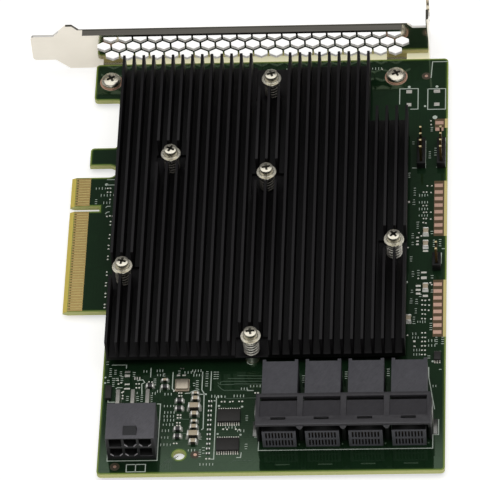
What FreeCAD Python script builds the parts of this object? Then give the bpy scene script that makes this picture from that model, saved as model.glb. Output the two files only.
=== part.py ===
import FreeCAD, Part
import math
import os
import Sketcher

# Storage controller card: a bus card with a finned heatsink, four drive connectors on its near
# edge, one supply connector, and a perforated mounting bracket on its far edge.
# Frame: the origin is the centre of the key notch on the bottom edge of the finger tab, on the
# board's underside. +X runs to the card's top edge, +Y to the bracket, +Z out of the component side.

SIZES = {
    # Printed circuit board
    "board_thick": 1.57,
    "board_top_x": 111.15,
    "board_body_x": 13.0,
    "board_tab_x": 5.0,
    "board_near_y": -98.5,
    "board_far_y": 57.15,
    "board_corner": 1.2,
    "tab_near_y": 42.8,
    "notch_near_y": 23.7,
    "hook_far_y": 16.9,
    "hook_end_x": 13.2,
    "finger_far_y": 12.15,
    "finger_near_y": -39.15,
    "key_width": 1.9,
    "key_depth": 8.75,
    "bevel_length": 1.3,
    "bevel_height": 0.5,
    "tooling_x": 36.1,
    "tooling_y": -91.9,
    "tooling_radius": 1.7,
    "solder_gap": 0.05,
    # Edge contacts
    "contact_pitch": 1.0,
    "contact_width": 0.7,
    "contact_start": 1.4,
    "contact_length": 4.35,
    "contact_thick": 0.04,
    "contact_first": 1.5,
    # Mounting bracket, folded from one sheet
    "sheet": 0.86,
    "bracket_y": 59.05,
    "tail_tip_x": -14.36,
    "tail_root_x": -7.5,
    "tail_low_z": 2.3,
    "tail_high_z": 12.5,
    "tail_corner": 1.2,
    "face_start_x": -3.4,
    "face_low_z": -1.57,
    "face_high_z": 16.85,
    "face_cut_z": 13.4,
    "face_cut_x": 100.7,
    "lip_z": 15.2,
    "lip_start_x": 1.65,
    "lip_end_x": 97.6,
    "lip_depth": 2.3,
    "lip_relief": 1.6,
    "flange_x": 104.8,
    "flange_reach": 11.43,
    "flange_slot": 4.42,
    "flange_slot_y": 6.35,
    "flange_slot_z": 5.08,
    "hex_pitch": 4.5,
    "hex_across": 3.95,
    "hex_first_x": 7.48,
    "hex_middle_z": 7.4,
    "hex_count": 21,
    "foot_width": 6.0,
    "foot_near_y": 46.9,
    "foot_first_x": 9.75,
    "foot_second_x": 95.55,
    "foot_screw_y": 50.1,
    "foot_collar_radius": 2.2,
    "foot_collar_height": 0.5,
    "foot_thread_radius": 1.5,
    # Bracket screws
    "bracket_head_radius": 2.95,
    "bracket_head_height": 1.9,
    "bracket_head_drop": 0.7,
    "bracket_head_inset": 0.9,
    "bracket_hole_radius": 1.6,
    "thread_clearance": 0.05,
    "bracket_screw_tip": 1.5,
    "recess_width": 0.8,
    "recess_length": 2.6,
    "recess_depth": 1.0,
    # Heatsink
    "sink_x": 14.15,
    "sink_near_y": -59.6,
    "sink_far_y": 50.9,
    "sink_under_z": 4.4,
    "sink_base": 1.5,
    "sink_top_z": 12.6,
    "fin_thick": 0.8,
    "fin_pitch": 2.925,
    "fin_count": 30,
    "sink_cut_x": 88.2,
    "sink_cut_y": 29.0,
    "pocket_width": 9.4,
    "pocket_length": 8.2,
    "pocket_floor": 0.5,
    "sink_hole_radius": 1.6,
    # Sprung heatsink screws
    "screw_top_z": 13.2,
    "screw_head_radius": 2.0,
    "screw_head_height": 1.5,
    "screw_head_drop": 0.4,
    "screw_head_inset": 0.6,
    "screw_flange_radius": 3.0,
    "screw_flange": 0.7,
    "screw_shank_radius": 1.25,
    "screw_tip_z": 0.6,
    "spring_radius": 1.85,
    "spring_wire": 0.56,
    "spring_turns": 5.25,
    "standoff_radius": 2.1,
    "standoff_flat": 2.75,
    "standoff_flange": 0.9,
    "standoff_hole_gap": 0.1,
    "screw_1_x": 58.9, "screw_1_y": 41.5,
    "screw_2_x": 30.05, "screw_2_y": 12.6,
    "screw_3_x": 58.5, "screw_3_y": 4.8,
    "screw_4_x": 96.2, "screw_4_y": -21.7,
    "screw_5_x": 17.85, "screw_5_y": -30.2,
    "screw_6_x": 55.85, "screw_6_y": -57.0,
    # Packages under the heatsink
    "package_side": 25.0,
    "package_thick": 1.1,
    "lid_side": 21.0,
    "pad_side": 20.0,
    "pad_thick": 0.2,
    # Drive connectors
    "port_first_x": 64.6,
    "port_front_y": -90.0,
    "port_depth": 11.1,
    "port_height": 11.0,
    "port_wall": 0.9,
    "port_divider": 1.2,
    "port_cavity_height": 9.9,
    "port_setback": 2.5,
    "port_visor": 2.4,
    "panel_inset": 0.25,
    "panel_front": 2.9,
    "panel_rear": 9.9,
    "panel_depth": 0.4,
    "rear_slot": 1.2,
    "window_width": 4.2,
    "window_front": 1.7,
    "window_length": 0.9,
    "module_gap": 0.45,
    "module_shoulder": 0.25,
    "module_height": 9.0,
    "module_rear": 24.9,
    "module_rib": 1.0,
    "module_rib_reach": 0.7,
    "tongue_width": 9.6,
    "tongue_height": 7.1,
    "tongue_front": 0.4,
    "comb_pitch": 0.9,
    "comb_count": 9,
    "comb_width": 0.45,
    "comb_height": 2.5,
    "comb_low_z": 0.6,
    "comb_row_rise": 3.3,
    "comb_depth": 6.0,
    "blade_thick": 0.25,
    "blade_inset": 0.8,
    "lock_thick": 0.3,
    "lock_front": 4.2,
    "lock_length": 5.3,
    "lock_height": 10.0,
    "lock_foot": 1.4,
    "lock_peg": 1.4,
    "tail_under": 1.4,
    # Supply connector
    "power_x": 22.9,
    "power_front_y": -93.3,
    "power_width": 13.8,
    "power_depth": 12.8,
    "power_height": 9.6,
    "power_pitch": 4.2,
    "power_cavity": 3.5,
    "power_cavity_depth": 10.0,
    "power_low_z": 3.3,
    "power_key": 0.9,
    "ramp_width": 3.8,
    "ramp_front": 0.7,
    "ramp_length": 3.2,
    "ramp_height": 1.0,
    "power_pin": 1.1,
    "power_pin_front": 3.0,
    "power_low_leg": 1.4,
    "power_high_leg": 5.6,
    # Small outline logic packages
    "logic_x": 49.8,
    "logic_1_y": -78.6,
    "logic_2_y": -88.9,
    "logic_length": 6.5,
    "logic_width": 4.4,
    "logic_thick": 1.0,
    "logic_lift": 0.1,
    "lead_pitch": 0.65,
    "lead_count": 10,
    "lead_width": 0.3,
    "lead_thick": 0.15,
    "lead_reach": 1.0,
    "lead_rise": 0.5,
    "lead_foot": 0.55,
    # Pin headers
    "header_pitch": 2.54,
    "header_width": 2.5,
    "header_height": 2.5,
    "header_pin": 0.64,
    "header_top_z": 10.1,
    "header_1_x": 103.4,
    "header_1_y": 14.8,
    "header_2_x": 109.3,
    "header_2_y": 14.8,
    "header_3_x": 108.3,
    "header_3_y": -24.5,
    # Edge test pads
    "test_pad_length": 2.4,
    "test_pad_width": 1.3,
    "test_pad_pitch": 2.54,
    "test_pad_x": 107.45,
    "test_pad_thick": 0.04,
    "test_row_1_y": 31.4, "test_row_1_count": 2,
    "test_row_2_y": 6.8, "test_row_2_count": 8,
    "test_row_3_y": -30.9, "test_row_3_count": 8,
    # Chip components
    "terminal": 0.4,
    "terminal_over": 0.05,
    "large_capacitor_length": 3.3, "large_capacitor_width": 1.8, "large_capacitor_height": 1.8,
    "large_capacitor_1_x": 39.8, "large_capacitor_1_y": -75.35,
    "large_capacitor_2_x": 39.9, "large_capacitor_2_y": -85.35,
    "small_capacitor_length": 2.05, "small_capacitor_width": 1.3, "small_capacitor_height": 1.25,
    "small_capacitor_1_x": 40.05, "small_capacitor_1_y": -72.25,
    "small_capacitor_2_x": 39.95, "small_capacitor_2_y": -77.75,
    "small_capacitor_3_x": 39.95, "small_capacitor_3_y": -82.45,
    "small_capacitor_4_x": 39.95, "small_capacitor_4_y": -87.6,
    "tiny_capacitor_length": 1.7, "tiny_capacitor_width": 0.85, "tiny_capacitor_height": 0.85,
    "tiny_capacitor_1_x": 39.95, "tiny_capacitor_1_y": -70.1,
    "tiny_capacitor_2_x": 39.95, "tiny_capacitor_2_y": -80.2,
    "tiny_capacitor_3_x": 31.0, "tiny_capacitor_3_y": -65.2,
    "edge_capacitor_length": 2.4, "edge_capacitor_width": 1.5, "edge_capacitor_height": 0.9,
    "edge_capacitor_1_x": 105.1, "edge_capacitor_1_y": -32.1,
    "edge_capacitor_2_x": 100.3, "edge_capacitor_2_y": -43.8,
    "edge_capacitor_3_x": 105.0, "edge_capacitor_3_y": -11.1,
    "edge_capacitor_4_x": 105.0, "edge_capacitor_4_y": -15.9,
    "ferrite_bead_length": 2.0, "ferrite_bead_width": 1.25, "ferrite_bead_height": 0.9,
    "ferrite_bead_1_x": 35.5, "ferrite_bead_1_y": -72.7,
    "ferrite_bead_2_x": 35.5, "ferrite_bead_2_y": -75.5,
    "ferrite_bead_3_x": 35.4, "ferrite_bead_3_y": -82.9,
    "ferrite_bead_4_x": 35.4, "ferrite_bead_4_y": -85.5,
    "ferrite_bead_5_x": 31.1, "ferrite_bead_5_y": -67.6,
    "ferrite_bead_6_x": 26.8, "ferrite_bead_6_y": -67.2,
    # Other small parts
    "crystal_x": 36.05, "crystal_y": -67.05,
    "crystal_side": 4.1, "crystal_can_side": 3.7,
    "crystal_tray_height": 0.5, "crystal_can_height": 0.7,
    "choke_x": 15.05, "choke_y": -69.7,
    "choke_width": 1.7, "choke_length": 4.6, "choke_height": 1.3,
    "regulator_x": 108.75, "regulator_y": -58.0,
    "regulator_width": 1.9, "regulator_length": 3.0, "regulator_height": 1.1,
    "resistor_x": 44.3, "resistor_y": -73.0, "resistor_pitch": 1.7, "resistor_count": 12,
    "resistor_length": 1.0, "resistor_width": 0.5, "resistor_height": 0.35,
    "bypass_pitch": 4.0,
    "bypass_length": 1.0, "bypass_width": 0.5, "bypass_height": 0.5,
}

doc = FreeCAD.newDocument("storage_controller_card")
sheet = doc.addObject("Spreadsheet::Sheet", "dim")
for row, (alias, number) in enumerate(SIZES.items(), start=1):
    sheet.set(f"A{row}", alias)
    sheet.set(f"B{row}", str(number))
    sheet.setAlias(f"B{row}", alias)
doc.recompute()

NODES = []
BOARD_TOP = "dim.board_thick"
SCREWS = [(f"dim.screw_{i}_x", f"dim.screw_{i}_y") for i in range(1, 7)]
FEET = ["dim.foot_first_x", "dim.foot_second_x"]
# The tongues are the measure of the drive ports: cavities, walls and pitch follow from them.
MODULE_WIDTH = "(dim.tongue_width + 2 * dim.module_shoulder)"
CAVITY_WIDTH = f"({MODULE_WIDTH} + 2 * dim.module_gap)"
PORT_PITCH = f"({CAVITY_WIDTH} + dim.port_divider)"
PORT_WIDTH = f"(3 * {PORT_PITCH} + {CAVITY_WIDTH} + 2 * dim.port_wall)"
PORTS = [f"dim.port_first_x + {i} * {PORT_PITCH}" for i in range(4)]
PACKAGES = {
    "controller_chip_1": (SCREWS[0], SCREWS[1]),
    "controller_chip_2": (SCREWS[2], SCREWS[3]),
    "switch_chip": (SCREWS[4], SCREWS[5]),
}


def number(text):
    """The value of an expression on the sheet, as a plain number."""
    return float(sheet.evalExpression(text))


def keep(obj, label):
    """Marks an object as one sub-part, under the name of its file."""
    obj.Label = label
    NODES.append(obj)
    return obj


def bind(obj, **texts):
    """Ties properties to expressions on the sheet."""
    for name, text in texts.items():
        obj.setExpression(name, text)


def place(obj, x="0", y="0", z="0"):
    """Ties an object's position to three expressions."""
    for axis, text in (("x", x), ("y", y), ("z", z)):
        obj.setExpression(f"Placement.Base.{axis}", text)
    return obj


def new_body(label):
    return keep(doc.addObject("PartDesign::Body", label), label)


def sketch_on(body, name, role, offset="0"):
    """An empty sketch on one of the body's own origin planes, moved along the plane's normal."""
    sketch = body.newObject("Sketcher::SketchObject", name)
    plane = [item for item in body.Origin.OriginFeatures if item.Role == role][0]
    sketch.AttachmentSupport = [(plane, "")]
    sketch.MapMode = "FlatFace"
    sketch.setExpression("AttachmentOffset.Base.z", offset)
    return sketch


def hold_point(sketch, item, end, x, y):
    """Ties one point of a sketch to two expressions, measured from the sketch's origin."""
    for kind, axis, text in (("DistanceX", -2, x), ("DistanceY", -1, y)):
        distance = number(text)
        if abs(distance) < 1e-9:
            sketch.addConstraint(Sketcher.Constraint("PointOnObject", item, end, axis))
            continue
        index = sketch.addConstraint(Sketcher.Constraint(kind, -1, 1, item, end, distance))
        sketch.setExpression(f"Constraints[{index}]", text)


def outline(sketch, points):
    """A closed outline of straight lines through points given as pairs of expressions."""
    spots = [FreeCAD.Vector(number(x), number(y), 0) for x, y in points]
    first = sketch.GeometryCount
    for spot, following in zip(spots, spots[1:] + spots[:1]):
        sketch.addGeometry(Part.LineSegment(spot, following), False)
    for index, (x, y) in enumerate(points):
        before = first + (index - 1) % len(points)
        sketch.addConstraint(Sketcher.Constraint("Coincident", before, 2, first + index, 1))
        hold_point(sketch, first + index, 1, x, y)


def rectangle(sketch, x, y, width, depth):
    """A rectangle about its centre."""
    low_x, high_x = f"{x} - ({width}) / 2", f"{x} + ({width}) / 2"
    low_y, high_y = f"{y} - ({depth}) / 2", f"{y} + ({depth}) / 2"
    outline(sketch, [(low_x, low_y), (high_x, low_y), (high_x, high_y), (low_x, high_y)])


def span(sketch, low_x, low_y, high_x, high_y):
    """A rectangle from its low corner to its high corner."""
    outline(sketch, [(low_x, low_y), (high_x, low_y), (high_x, high_y), (low_x, high_y)])


def circle(sketch, x, y, radius):
    centre = FreeCAD.Vector(number(x), number(y), 0)
    item = sketch.addGeometry(Part.Circle(centre, FreeCAD.Vector(0, 0, 1), number(radius)), False)
    index = sketch.addConstraint(Sketcher.Constraint("Radius", item, number(radius)))
    sketch.setExpression(f"Constraints[{index}]", radius)
    hold_point(sketch, item, 3, x, y)


def pad(body, sketch, name, length, backwards=False):
    feature = body.newObject("PartDesign::Pad", name)
    feature.Profile = sketch
    feature.Reversed = backwards
    feature.setExpression("Length", length)
    doc.recompute()
    return feature


def pocket(body, sketch, name, length, backwards=False):
    """A cut of a given depth, which has to take something away from the solid."""
    before = body.Shape.Volume
    feature = body.newObject("PartDesign::Pocket", name)
    feature.Profile = sketch
    feature.Reversed = backwards
    feature.setExpression("Length", length)
    doc.recompute()
    if not body.Shape.Volume < before - 1e-6:
        raise RuntimeError(f"{name} cuts nothing")
    return feature


def repeat(body, feature, name, role, length, count, backwards=False):
    """A row of copies of one feature along one of the body's own axes."""
    row = body.newObject("PartDesign::LinearPattern", name)
    row.Originals = [feature]
    axis = [item for item in body.Origin.OriginFeatures if item.Role == role][0]
    row.Direction = (axis, [""])
    row.Reversed = backwards
    row.setExpression("Length", length)
    row.setExpression("Occurrences", count)
    body.Tip = row
    doc.recompute()
    return row


def round_edges(body, name, radius, chosen):
    """Fillets the edges of the body's last feature that the test picks."""
    base = body.Tip
    names = [f"Edge{i}" for i, edge in enumerate(base.Shape.Edges, start=1) if chosen(edge)]
    feature = body.newObject("PartDesign::Fillet", name)
    feature.Base = (base, names)
    feature.setExpression("Radius", radius)
    doc.recompute()
    return feature


def upright_at(points):
    """A test for edges parallel to Z that stand on one of the given points."""
    spots = [(number(x), number(y)) for x, y in points]

    def chosen(edge):
        box = edge.BoundBox
        if box.XLength + box.YLength > 1e-6:
            return False
        return any(abs(box.XMin - x) + abs(box.YMin - y) < 1e-3 for x, y in spots)

    return chosen


def block(name, low, size):
    """A plain block from its low corner and its size, all given as expressions."""
    item = doc.addObject("Part::Box", name)
    bind(item, Length=size[0], Width=size[1], Height=size[2])
    return place(item, *low)


def block_about(name, x, y, low_z, size):
    """A plain block from the centre of its foot and its size."""
    return block(name, (f"{x} - ({size[0]}) / 2", f"{y} - ({size[1]}) / 2", low_z), size)


def rod(name, foot, radius, height):
    """An upright cylinder from the centre of its foot."""
    item = doc.addObject("Part::Cylinder", name)
    bind(item, Radius=radius, Height=height)
    return place(item, *foot)


def group(label, items):
    """Like pieces that share one node as separate solids."""
    gathered = doc.addObject("Part::Compound", label)
    gathered.Links = items
    return keep(gathered, label)


def fused(name, items):
    joined = doc.addObject("Part::MultiFuse", name)
    joined.Shapes = items
    joined.Refine = True
    return joined


def cut(name, base, tool):
    result = doc.addObject("Part::Cut", name)
    result.Base = base
    result.Tool = tool
    return result


# Printed circuit board: one routed sheet of glass laminate.
# The finger tab has a key notch and a bevelled edge, and a hook slot and a wide notch part it
# from the tab that the bracket stands beside.
def make_board():
    body = new_body("circuit_board")
    shape = sketch_on(body, "board_outline", "XY_Plane")
    outline(shape, [
        ("dim.board_body_x", "dim.board_near_y"),
        ("dim.board_top_x", "dim.board_near_y"),
        ("dim.board_top_x", "dim.board_far_y"),
        ("dim.board_tab_x", "dim.board_far_y"),
        ("dim.board_tab_x", "dim.tab_near_y"),
        ("dim.board_body_x", "dim.tab_near_y"),
        ("dim.board_body_x", "dim.notch_near_y"),
        ("dim.board_tab_x", "dim.notch_near_y"),
        ("dim.board_tab_x", "dim.hook_far_y"),
        ("dim.hook_end_x", "dim.hook_far_y"),
        ("dim.hook_end_x", "dim.finger_far_y"),
        ("0", "dim.finger_far_y"),
        ("0", "dim.finger_near_y"),
        ("dim.board_body_x", "dim.finger_near_y"),
    ])
    pad(body, shape, "board_sheet", "dim.board_thick")
    hook = "(dim.hook_far_y - dim.finger_far_y) / 2 - 0.01"
    round_edges(body, "hook_round", hook, upright_at([
        ("dim.hook_end_x", "dim.hook_far_y"), ("dim.hook_end_x", "dim.finger_far_y")]))
    round_edges(body, "corner_round", "dim.board_corner", upright_at([
        ("dim.board_body_x", "dim.board_near_y"), ("dim.board_top_x", "dim.board_near_y"),
        ("dim.board_top_x", "dim.board_far_y"), ("dim.board_tab_x", "dim.board_far_y"),
        ("dim.board_tab_x", "dim.tab_near_y"), ("dim.board_tab_x", "dim.notch_near_y"),
        ("dim.board_body_x", "dim.tab_near_y"), ("dim.board_body_x", "dim.notch_near_y")]))
    key = sketch_on(body, "key_outline", "XY_Plane")
    span(key, "-1", "-dim.key_width / 2", "dim.key_depth", "dim.key_width / 2")
    pocket(body, key, "key_notch", "dim.board_thick + 1", True)
    bevel_side = sketch_on(body, "bevel_outline", "XZ_Plane", "-dim.finger_far_y - 1")
    for edge_z, inner_z in (("0", "dim.bevel_height"), (BOARD_TOP, f"{BOARD_TOP} - dim.bevel_height")):
        outline(bevel_side, [("0", edge_z), ("dim.bevel_length", edge_z), ("0", inner_z)])
    pocket(body, bevel_side, "finger_bevel", "dim.finger_far_y - dim.finger_near_y + 2", True)
    holes = sketch_on(body, "hole_outline", "XY_Plane")
    circle(holes, "dim.tooling_x", "dim.tooling_y", "dim.tooling_radius")
    for x in FEET:
        circle(holes, x, "dim.foot_screw_y", "dim.bracket_hole_radius")
    for x, y in SCREWS:
        circle(holes, x, y, "dim.standoff_radius + dim.standoff_hole_gap")
    pocket(body, holes, "drilled_holes", "dim.board_thick + 1", True)
    # The soldered holes of pins and pegs are taken as square, a solder gap wider than the pin.
    pin_holes = sketch_on(body, "pin_hole_outline", "XY_Plane")
    for x, y in power_legs():
        soldered_hole(pin_holes, x, y, "dim.power_pin", "dim.power_pin")
    for x, y in header_places():
        soldered_hole(pin_holes, x, y, "dim.header_pin", "dim.header_pin")
    for x in lock_places():
        soldered_hole(pin_holes, x, lock_middle(), "dim.lock_thick", "dim.lock_peg")
    pocket(body, pin_holes, "soldered_holes", "dim.board_thick + 1", True)


def soldered_hole(sketch, x, y, width, depth):
    rectangle(sketch, x, y, f"{width} + 2 * dim.solder_gap", f"{depth} + 2 * dim.solder_gap")


def power_legs():
    """Where the six supply pins pass the board: three columns, a near and a far row."""
    legs = []
    for column in (-1, 0, 1):
        for leg in ("dim.power_low_leg", "dim.power_high_leg"):
            x = f"dim.power_x + {column} * dim.power_pitch"
            legs.append((x, f"dim.power_front_y + dim.power_depth + {leg}"))
    return legs


def header_places():
    """Where the header pins pass the board."""
    places = []
    for index, count in ((1, 4), (2, 4), (3, 2)):
        for step in range(count):
            y = f"dim.header_{index}_y + {step} * dim.header_pitch"
            places.append((f"dim.header_{index}_x", y))
    return places


def lock_places():
    """Where the pegs of the two board locks pass the board."""
    middle = f"dim.port_first_x + 1.5 * {PORT_PITCH}"
    out = f"{PORT_WIDTH} / 2 + dim.lock_thick / 2"
    return [f"{middle} - ({out})", f"{middle} + ({out})"]


def lock_middle():
    return "dim.port_front_y + dim.lock_front + dim.lock_length / 2"


# Edge contacts: plated strips on both faces of the finger tab, eleven on the far side of the key
# notch and thirty-eight on the near side.
def make_edge_contacts():
    for label, foot in (("edge_contacts_front", BOARD_TOP), ("edge_contacts_back", "-dim.contact_thick")):
        strips = []
        for side, count in ((1, 11), (-1, 38)):
            for step in range(count):
                middle = f"{side} * (dim.contact_first + {step} * dim.contact_pitch)"
                low = ("dim.contact_start", f"{middle} - dim.contact_width / 2", foot)
                size = ("dim.contact_length", "dim.contact_width", "dim.contact_thick")
                strips.append(block(f"{label}_strip", low, size))
        group(label, strips)


# Mounting bracket: one folded steel sheet. A perforated face, a narrow tail that drops into the
# chassis, a stiffening lip along one long edge, two tapped feet under the board, and a flange with
# an open screw slot.
def make_bracket():
    body = new_body("mounting_bracket")
    face = sketch_on(body, "face_outline", "XZ_Plane", "-dim.bracket_y")
    outline(face, [
        ("dim.tail_tip_x", "dim.tail_low_z"),
        ("dim.tail_root_x", "dim.tail_low_z"),
        ("dim.face_start_x", "dim.face_low_z"),
        ("dim.flange_x + dim.sheet", "dim.face_low_z"),
        ("dim.flange_x + dim.sheet", "dim.face_cut_z"),
        ("dim.face_cut_x", "dim.face_cut_z"),
        ("dim.lip_end_x + dim.lip_relief", "dim.lip_z"),
        ("dim.lip_start_x - dim.lip_relief", "dim.lip_z"),
        ("dim.lip_start_x - 2 * dim.lip_relief", "dim.face_high_z"),
        ("dim.face_start_x", "dim.face_high_z"),
        ("dim.tail_root_x", "dim.tail_high_z"),
        ("dim.tail_tip_x", "dim.tail_high_z"),
    ])
    pad(body, face, "face_sheet", "dim.sheet", True)
    tip_x = number("dim.tail_tip_x")
    round_edges(body, "tail_round", "dim.tail_corner", lambda edge: (
        edge.BoundBox.XMax < tip_x + 1e-3 and edge.BoundBox.ZLength < 1e-6))
    # The lip is folded towards the board along the face's high edge.
    lip = sketch_on(body, "lip_outline", "YZ_Plane", "dim.lip_start_x")
    span(lip, "dim.bracket_y - dim.lip_depth", "dim.lip_z - dim.sheet",
         "dim.bracket_y + dim.sheet", "dim.lip_z")
    pad(body, lip, "lip_sheet", "dim.lip_end_x - dim.lip_start_x")
    # The flange is folded away from the board, for the screw that fastens the card.
    flange = sketch_on(body, "flange_outline", "YZ_Plane", "dim.flange_x")
    span(flange, "dim.bracket_y", "dim.face_low_z",
         "dim.bracket_y + dim.flange_reach", "dim.face_high_z")
    pad(body, flange, "flange_sheet", "dim.sheet")
    slot_y = "dim.bracket_y + dim.flange_slot_y"
    slot_end = sketch_on(body, "slot_end_outline", "YZ_Plane", "dim.flange_x")
    circle(slot_end, slot_y, "dim.face_high_z - dim.flange_slot_z", "dim.flange_slot / 2")
    pocket(body, slot_end, "slot_end", "dim.sheet + 1", True)
    slot_mouth = sketch_on(body, "slot_mouth_outline", "YZ_Plane", "dim.flange_x")
    span(slot_mouth, f"{slot_y} - dim.flange_slot / 2", "dim.face_high_z - dim.flange_slot_z",
         f"{slot_y} + dim.flange_slot / 2", "dim.face_high_z + 1")
    pocket(body, slot_mouth, "slot_mouth", "dim.sheet + 1", True)
    # Two feet lie under the board, each with a drawn and tapped collar.
    feet = sketch_on(body, "feet_outline", "XY_Plane", "-dim.sheet")
    for x in FEET:
        span(feet, f"{x} - dim.foot_width / 2", "dim.foot_near_y",
             f"{x} + dim.foot_width / 2", "dim.bracket_y + dim.sheet / 2")
    pad(body, feet, "feet_sheet", "dim.sheet")
    collars = sketch_on(body, "collar_outline", "XY_Plane", "-dim.sheet")
    for x in FEET:
        circle(collars, x, "dim.foot_screw_y", "dim.foot_collar_radius")
    pad(body, collars, "collars", "dim.foot_collar_height", True)
    threads = sketch_on(body, "thread_outline", "XY_Plane")
    for x in FEET:
        circle(threads, x, "dim.foot_screw_y", "dim.foot_thread_radius")
    pocket(body, threads, "tapped_holes", "dim.sheet + dim.foot_collar_height + 1")
    # The sheet's bends are round outside: along the lip, and at the flange.
    outer_y = number("dim.bracket_y + dim.sheet")
    lip_z = number("dim.lip_z")
    outer_x = number("dim.flange_x + dim.sheet")
    inner_y = number("dim.bracket_y")

    def outer_bend(edge):
        box = edge.BoundBox
        along_lip = box.XLength > 50 and abs(box.YMin - outer_y) + abs(box.ZMin - lip_z) < 1e-3
        at_flange = box.ZLength > 10 and abs(box.XMax - outer_x) + abs(box.YMax - inner_y) < 1e-3
        return along_lip or (at_flange and box.XLength < 1e-6)

    round_edges(body, "outer_bends", "dim.sheet * 0.95", outer_bend)
    # Three rows of hexagonal vents, each row half a pitch off the next.
    across = "dim.hex_across / 2"
    point = "dim.hex_across / 2 / cos(30)"
    rise = "dim.hex_pitch * sin(60)"
    for name, shift, height, count in (
            ("middle", "0", "0", "dim.hex_count"),
            ("low", "dim.hex_pitch / 2", f"-({rise})", "dim.hex_count - 1"),
            ("high", "dim.hex_pitch / 2", rise, "dim.hex_count - 1")):
        x = f"dim.hex_first_x + {shift}"
        z = f"dim.hex_middle_z + {height}"
        vent = sketch_on(body, f"{name}_vent_outline", "XZ_Plane", "-dim.bracket_y")
        outline(vent, [
            (x, f"{z} - {point}"),
            (f"{x} + {across}", f"{z} - {point} / 2"),
            (f"{x} + {across}", f"{z} + {point} / 2"),
            (x, f"{z} + {point}"),
            (f"{x} - {across}", f"{z} + {point} / 2"),
            (f"{x} - {across}", f"{z} - {point} / 2"),
        ])
        first = pocket(body, vent, f"{name}_vent", "dim.sheet + 1")
        repeat(body, first, f"{name}_vents", "X_Axis", f"dim.hex_pitch * ({count} - 1)", count)


# Bracket screws: pan heads on the component side, threaded into the bracket's feet.
def make_bracket_screws():
    screws = []
    for x in FEET:
        head = domed_head("bracket_screw_head", (x, "dim.foot_screw_y", BOARD_TOP),
                          "dim.bracket_head_radius", "dim.bracket_head_height",
                          "dim.bracket_head_inset", "dim.bracket_head_drop")
        shank = rod("bracket_screw_shank", (x, "dim.foot_screw_y", "-dim.bracket_screw_tip"),
                    "dim.foot_thread_radius - dim.thread_clearance",
                    f"{BOARD_TOP} + dim.bracket_screw_tip")
        solid = fused("bracket_screw", [head, shank])
        top = f"{BOARD_TOP} + dim.bracket_head_height"
        screws.append(cut("bracket_screw_cut", solid, cross_recess(x, "dim.foot_screw_y", top)))
    group("bracket_screws", screws)


def domed_head(name, foot, radius, height, inset, drop):
    """A pan head: a short cylinder under a cone that narrows to the flat top."""
    x, y, low_z = foot
    rim = rod(f"{name}_rim", foot, radius, f"{height} - {drop}")
    crown = doc.addObject("Part::Cone", f"{name}_crown")
    bind(crown, Radius1=radius, Radius2=f"{radius} - {inset}", Height=drop)
    place(crown, x, y, f"{low_z} + {height} - {drop}")
    return fused(name, [rim, crown])


def cross_recess(x, y, top):
    """Two crossed bars that cut a driver recess into a screw head."""
    bars = []
    for along_x, along_y in (("dim.recess_length", "dim.recess_width"),
                             ("dim.recess_width", "dim.recess_length")):
        low = (f"{x} - {along_x} / 2", f"{y} - {along_y} / 2", f"{top} - dim.recess_depth")
        bars.append(block("recess_bar", low, (along_x, along_y, "dim.recess_depth + 1")))
    return fused("recess", bars)


# Heatsink: a black anodised extrusion. Thirty fins run along Y on a thin base, with a milled
# pocket round each sprung screw and one corner cut away for the bracket screw.
def make_heatsink():
    body = new_body("heatsink")
    width = "(dim.fin_count - 1) * dim.fin_pitch + dim.fin_thick"
    base = sketch_on(body, "sink_base_outline", "XY_Plane", "dim.sink_under_z")
    span(base, "dim.sink_x", "dim.sink_near_y", f"dim.sink_x + {width}", "dim.sink_far_y")
    pad(body, base, "sink_base_plate", "dim.sink_base")
    fin = sketch_on(body, "fin_outline", "XY_Plane", "dim.sink_under_z + dim.sink_base")
    span(fin, "dim.sink_x", "dim.sink_near_y", "dim.sink_x + dim.fin_thick", "dim.sink_far_y")
    first = pad(body, fin, "first_fin", "dim.sink_top_z - dim.sink_under_z - dim.sink_base")
    repeat(body, first, "fins", "X_Axis", "(dim.fin_count - 1) * dim.fin_pitch", "dim.fin_count")
    corner = sketch_on(body, "sink_corner_outline", "XY_Plane", "dim.sink_top_z")
    span(corner, "dim.sink_cut_x", "dim.sink_cut_y", f"dim.sink_x + {width} + 1", "dim.sink_far_y + 1")
    pocket(body, corner, "sink_corner", "dim.sink_top_z - dim.sink_under_z + 1")
    low_x, high_x = number("dim.sink_x"), number(f"dim.sink_x + {width}")
    low_y, high_y = number("dim.sink_near_y"), number("dim.sink_far_y")
    depth = "dim.sink_top_z - dim.sink_under_z - dim.pocket_floor"
    for index, (x, y) in enumerate(SCREWS, start=1):
        # A pocket that would leave a sliver at the heatsink's edge runs out through it.
        half_x, half_y = number("dim.pocket_width / 2"), number("dim.pocket_length / 2")
        thin = number("dim.fin_pitch")
        left = "dim.sink_x - 1" if number(x) - half_x < low_x + thin else f"{x} - dim.pocket_width / 2"
        right = f"dim.sink_x + {width} + 1" if number(x) + half_x > high_x - thin else (
            f"{x} + dim.pocket_width / 2")
        near = "dim.sink_near_y - 1" if number(y) - half_y < low_y + thin else (
            f"{y} - dim.pocket_length / 2")
        far = "dim.sink_far_y + 1" if number(y) + half_y > high_y - 2 * thin else (
            f"{y} + dim.pocket_length / 2")
        shape = sketch_on(body, f"pocket_{index}_outline", "XY_Plane", "dim.sink_top_z")
        span(shape, left, near, right, far)
        pocket(body, shape, f"screw_pocket_{index}", depth)
    holes = sketch_on(body, "sink_holes_outline", "XY_Plane", "dim.sink_top_z")
    for x, y in SCREWS:
        circle(holes, x, y, "dim.sink_hole_radius")
    pocket(body, holes, "sink_holes", "dim.sink_top_z - dim.sink_under_z + 1")


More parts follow.
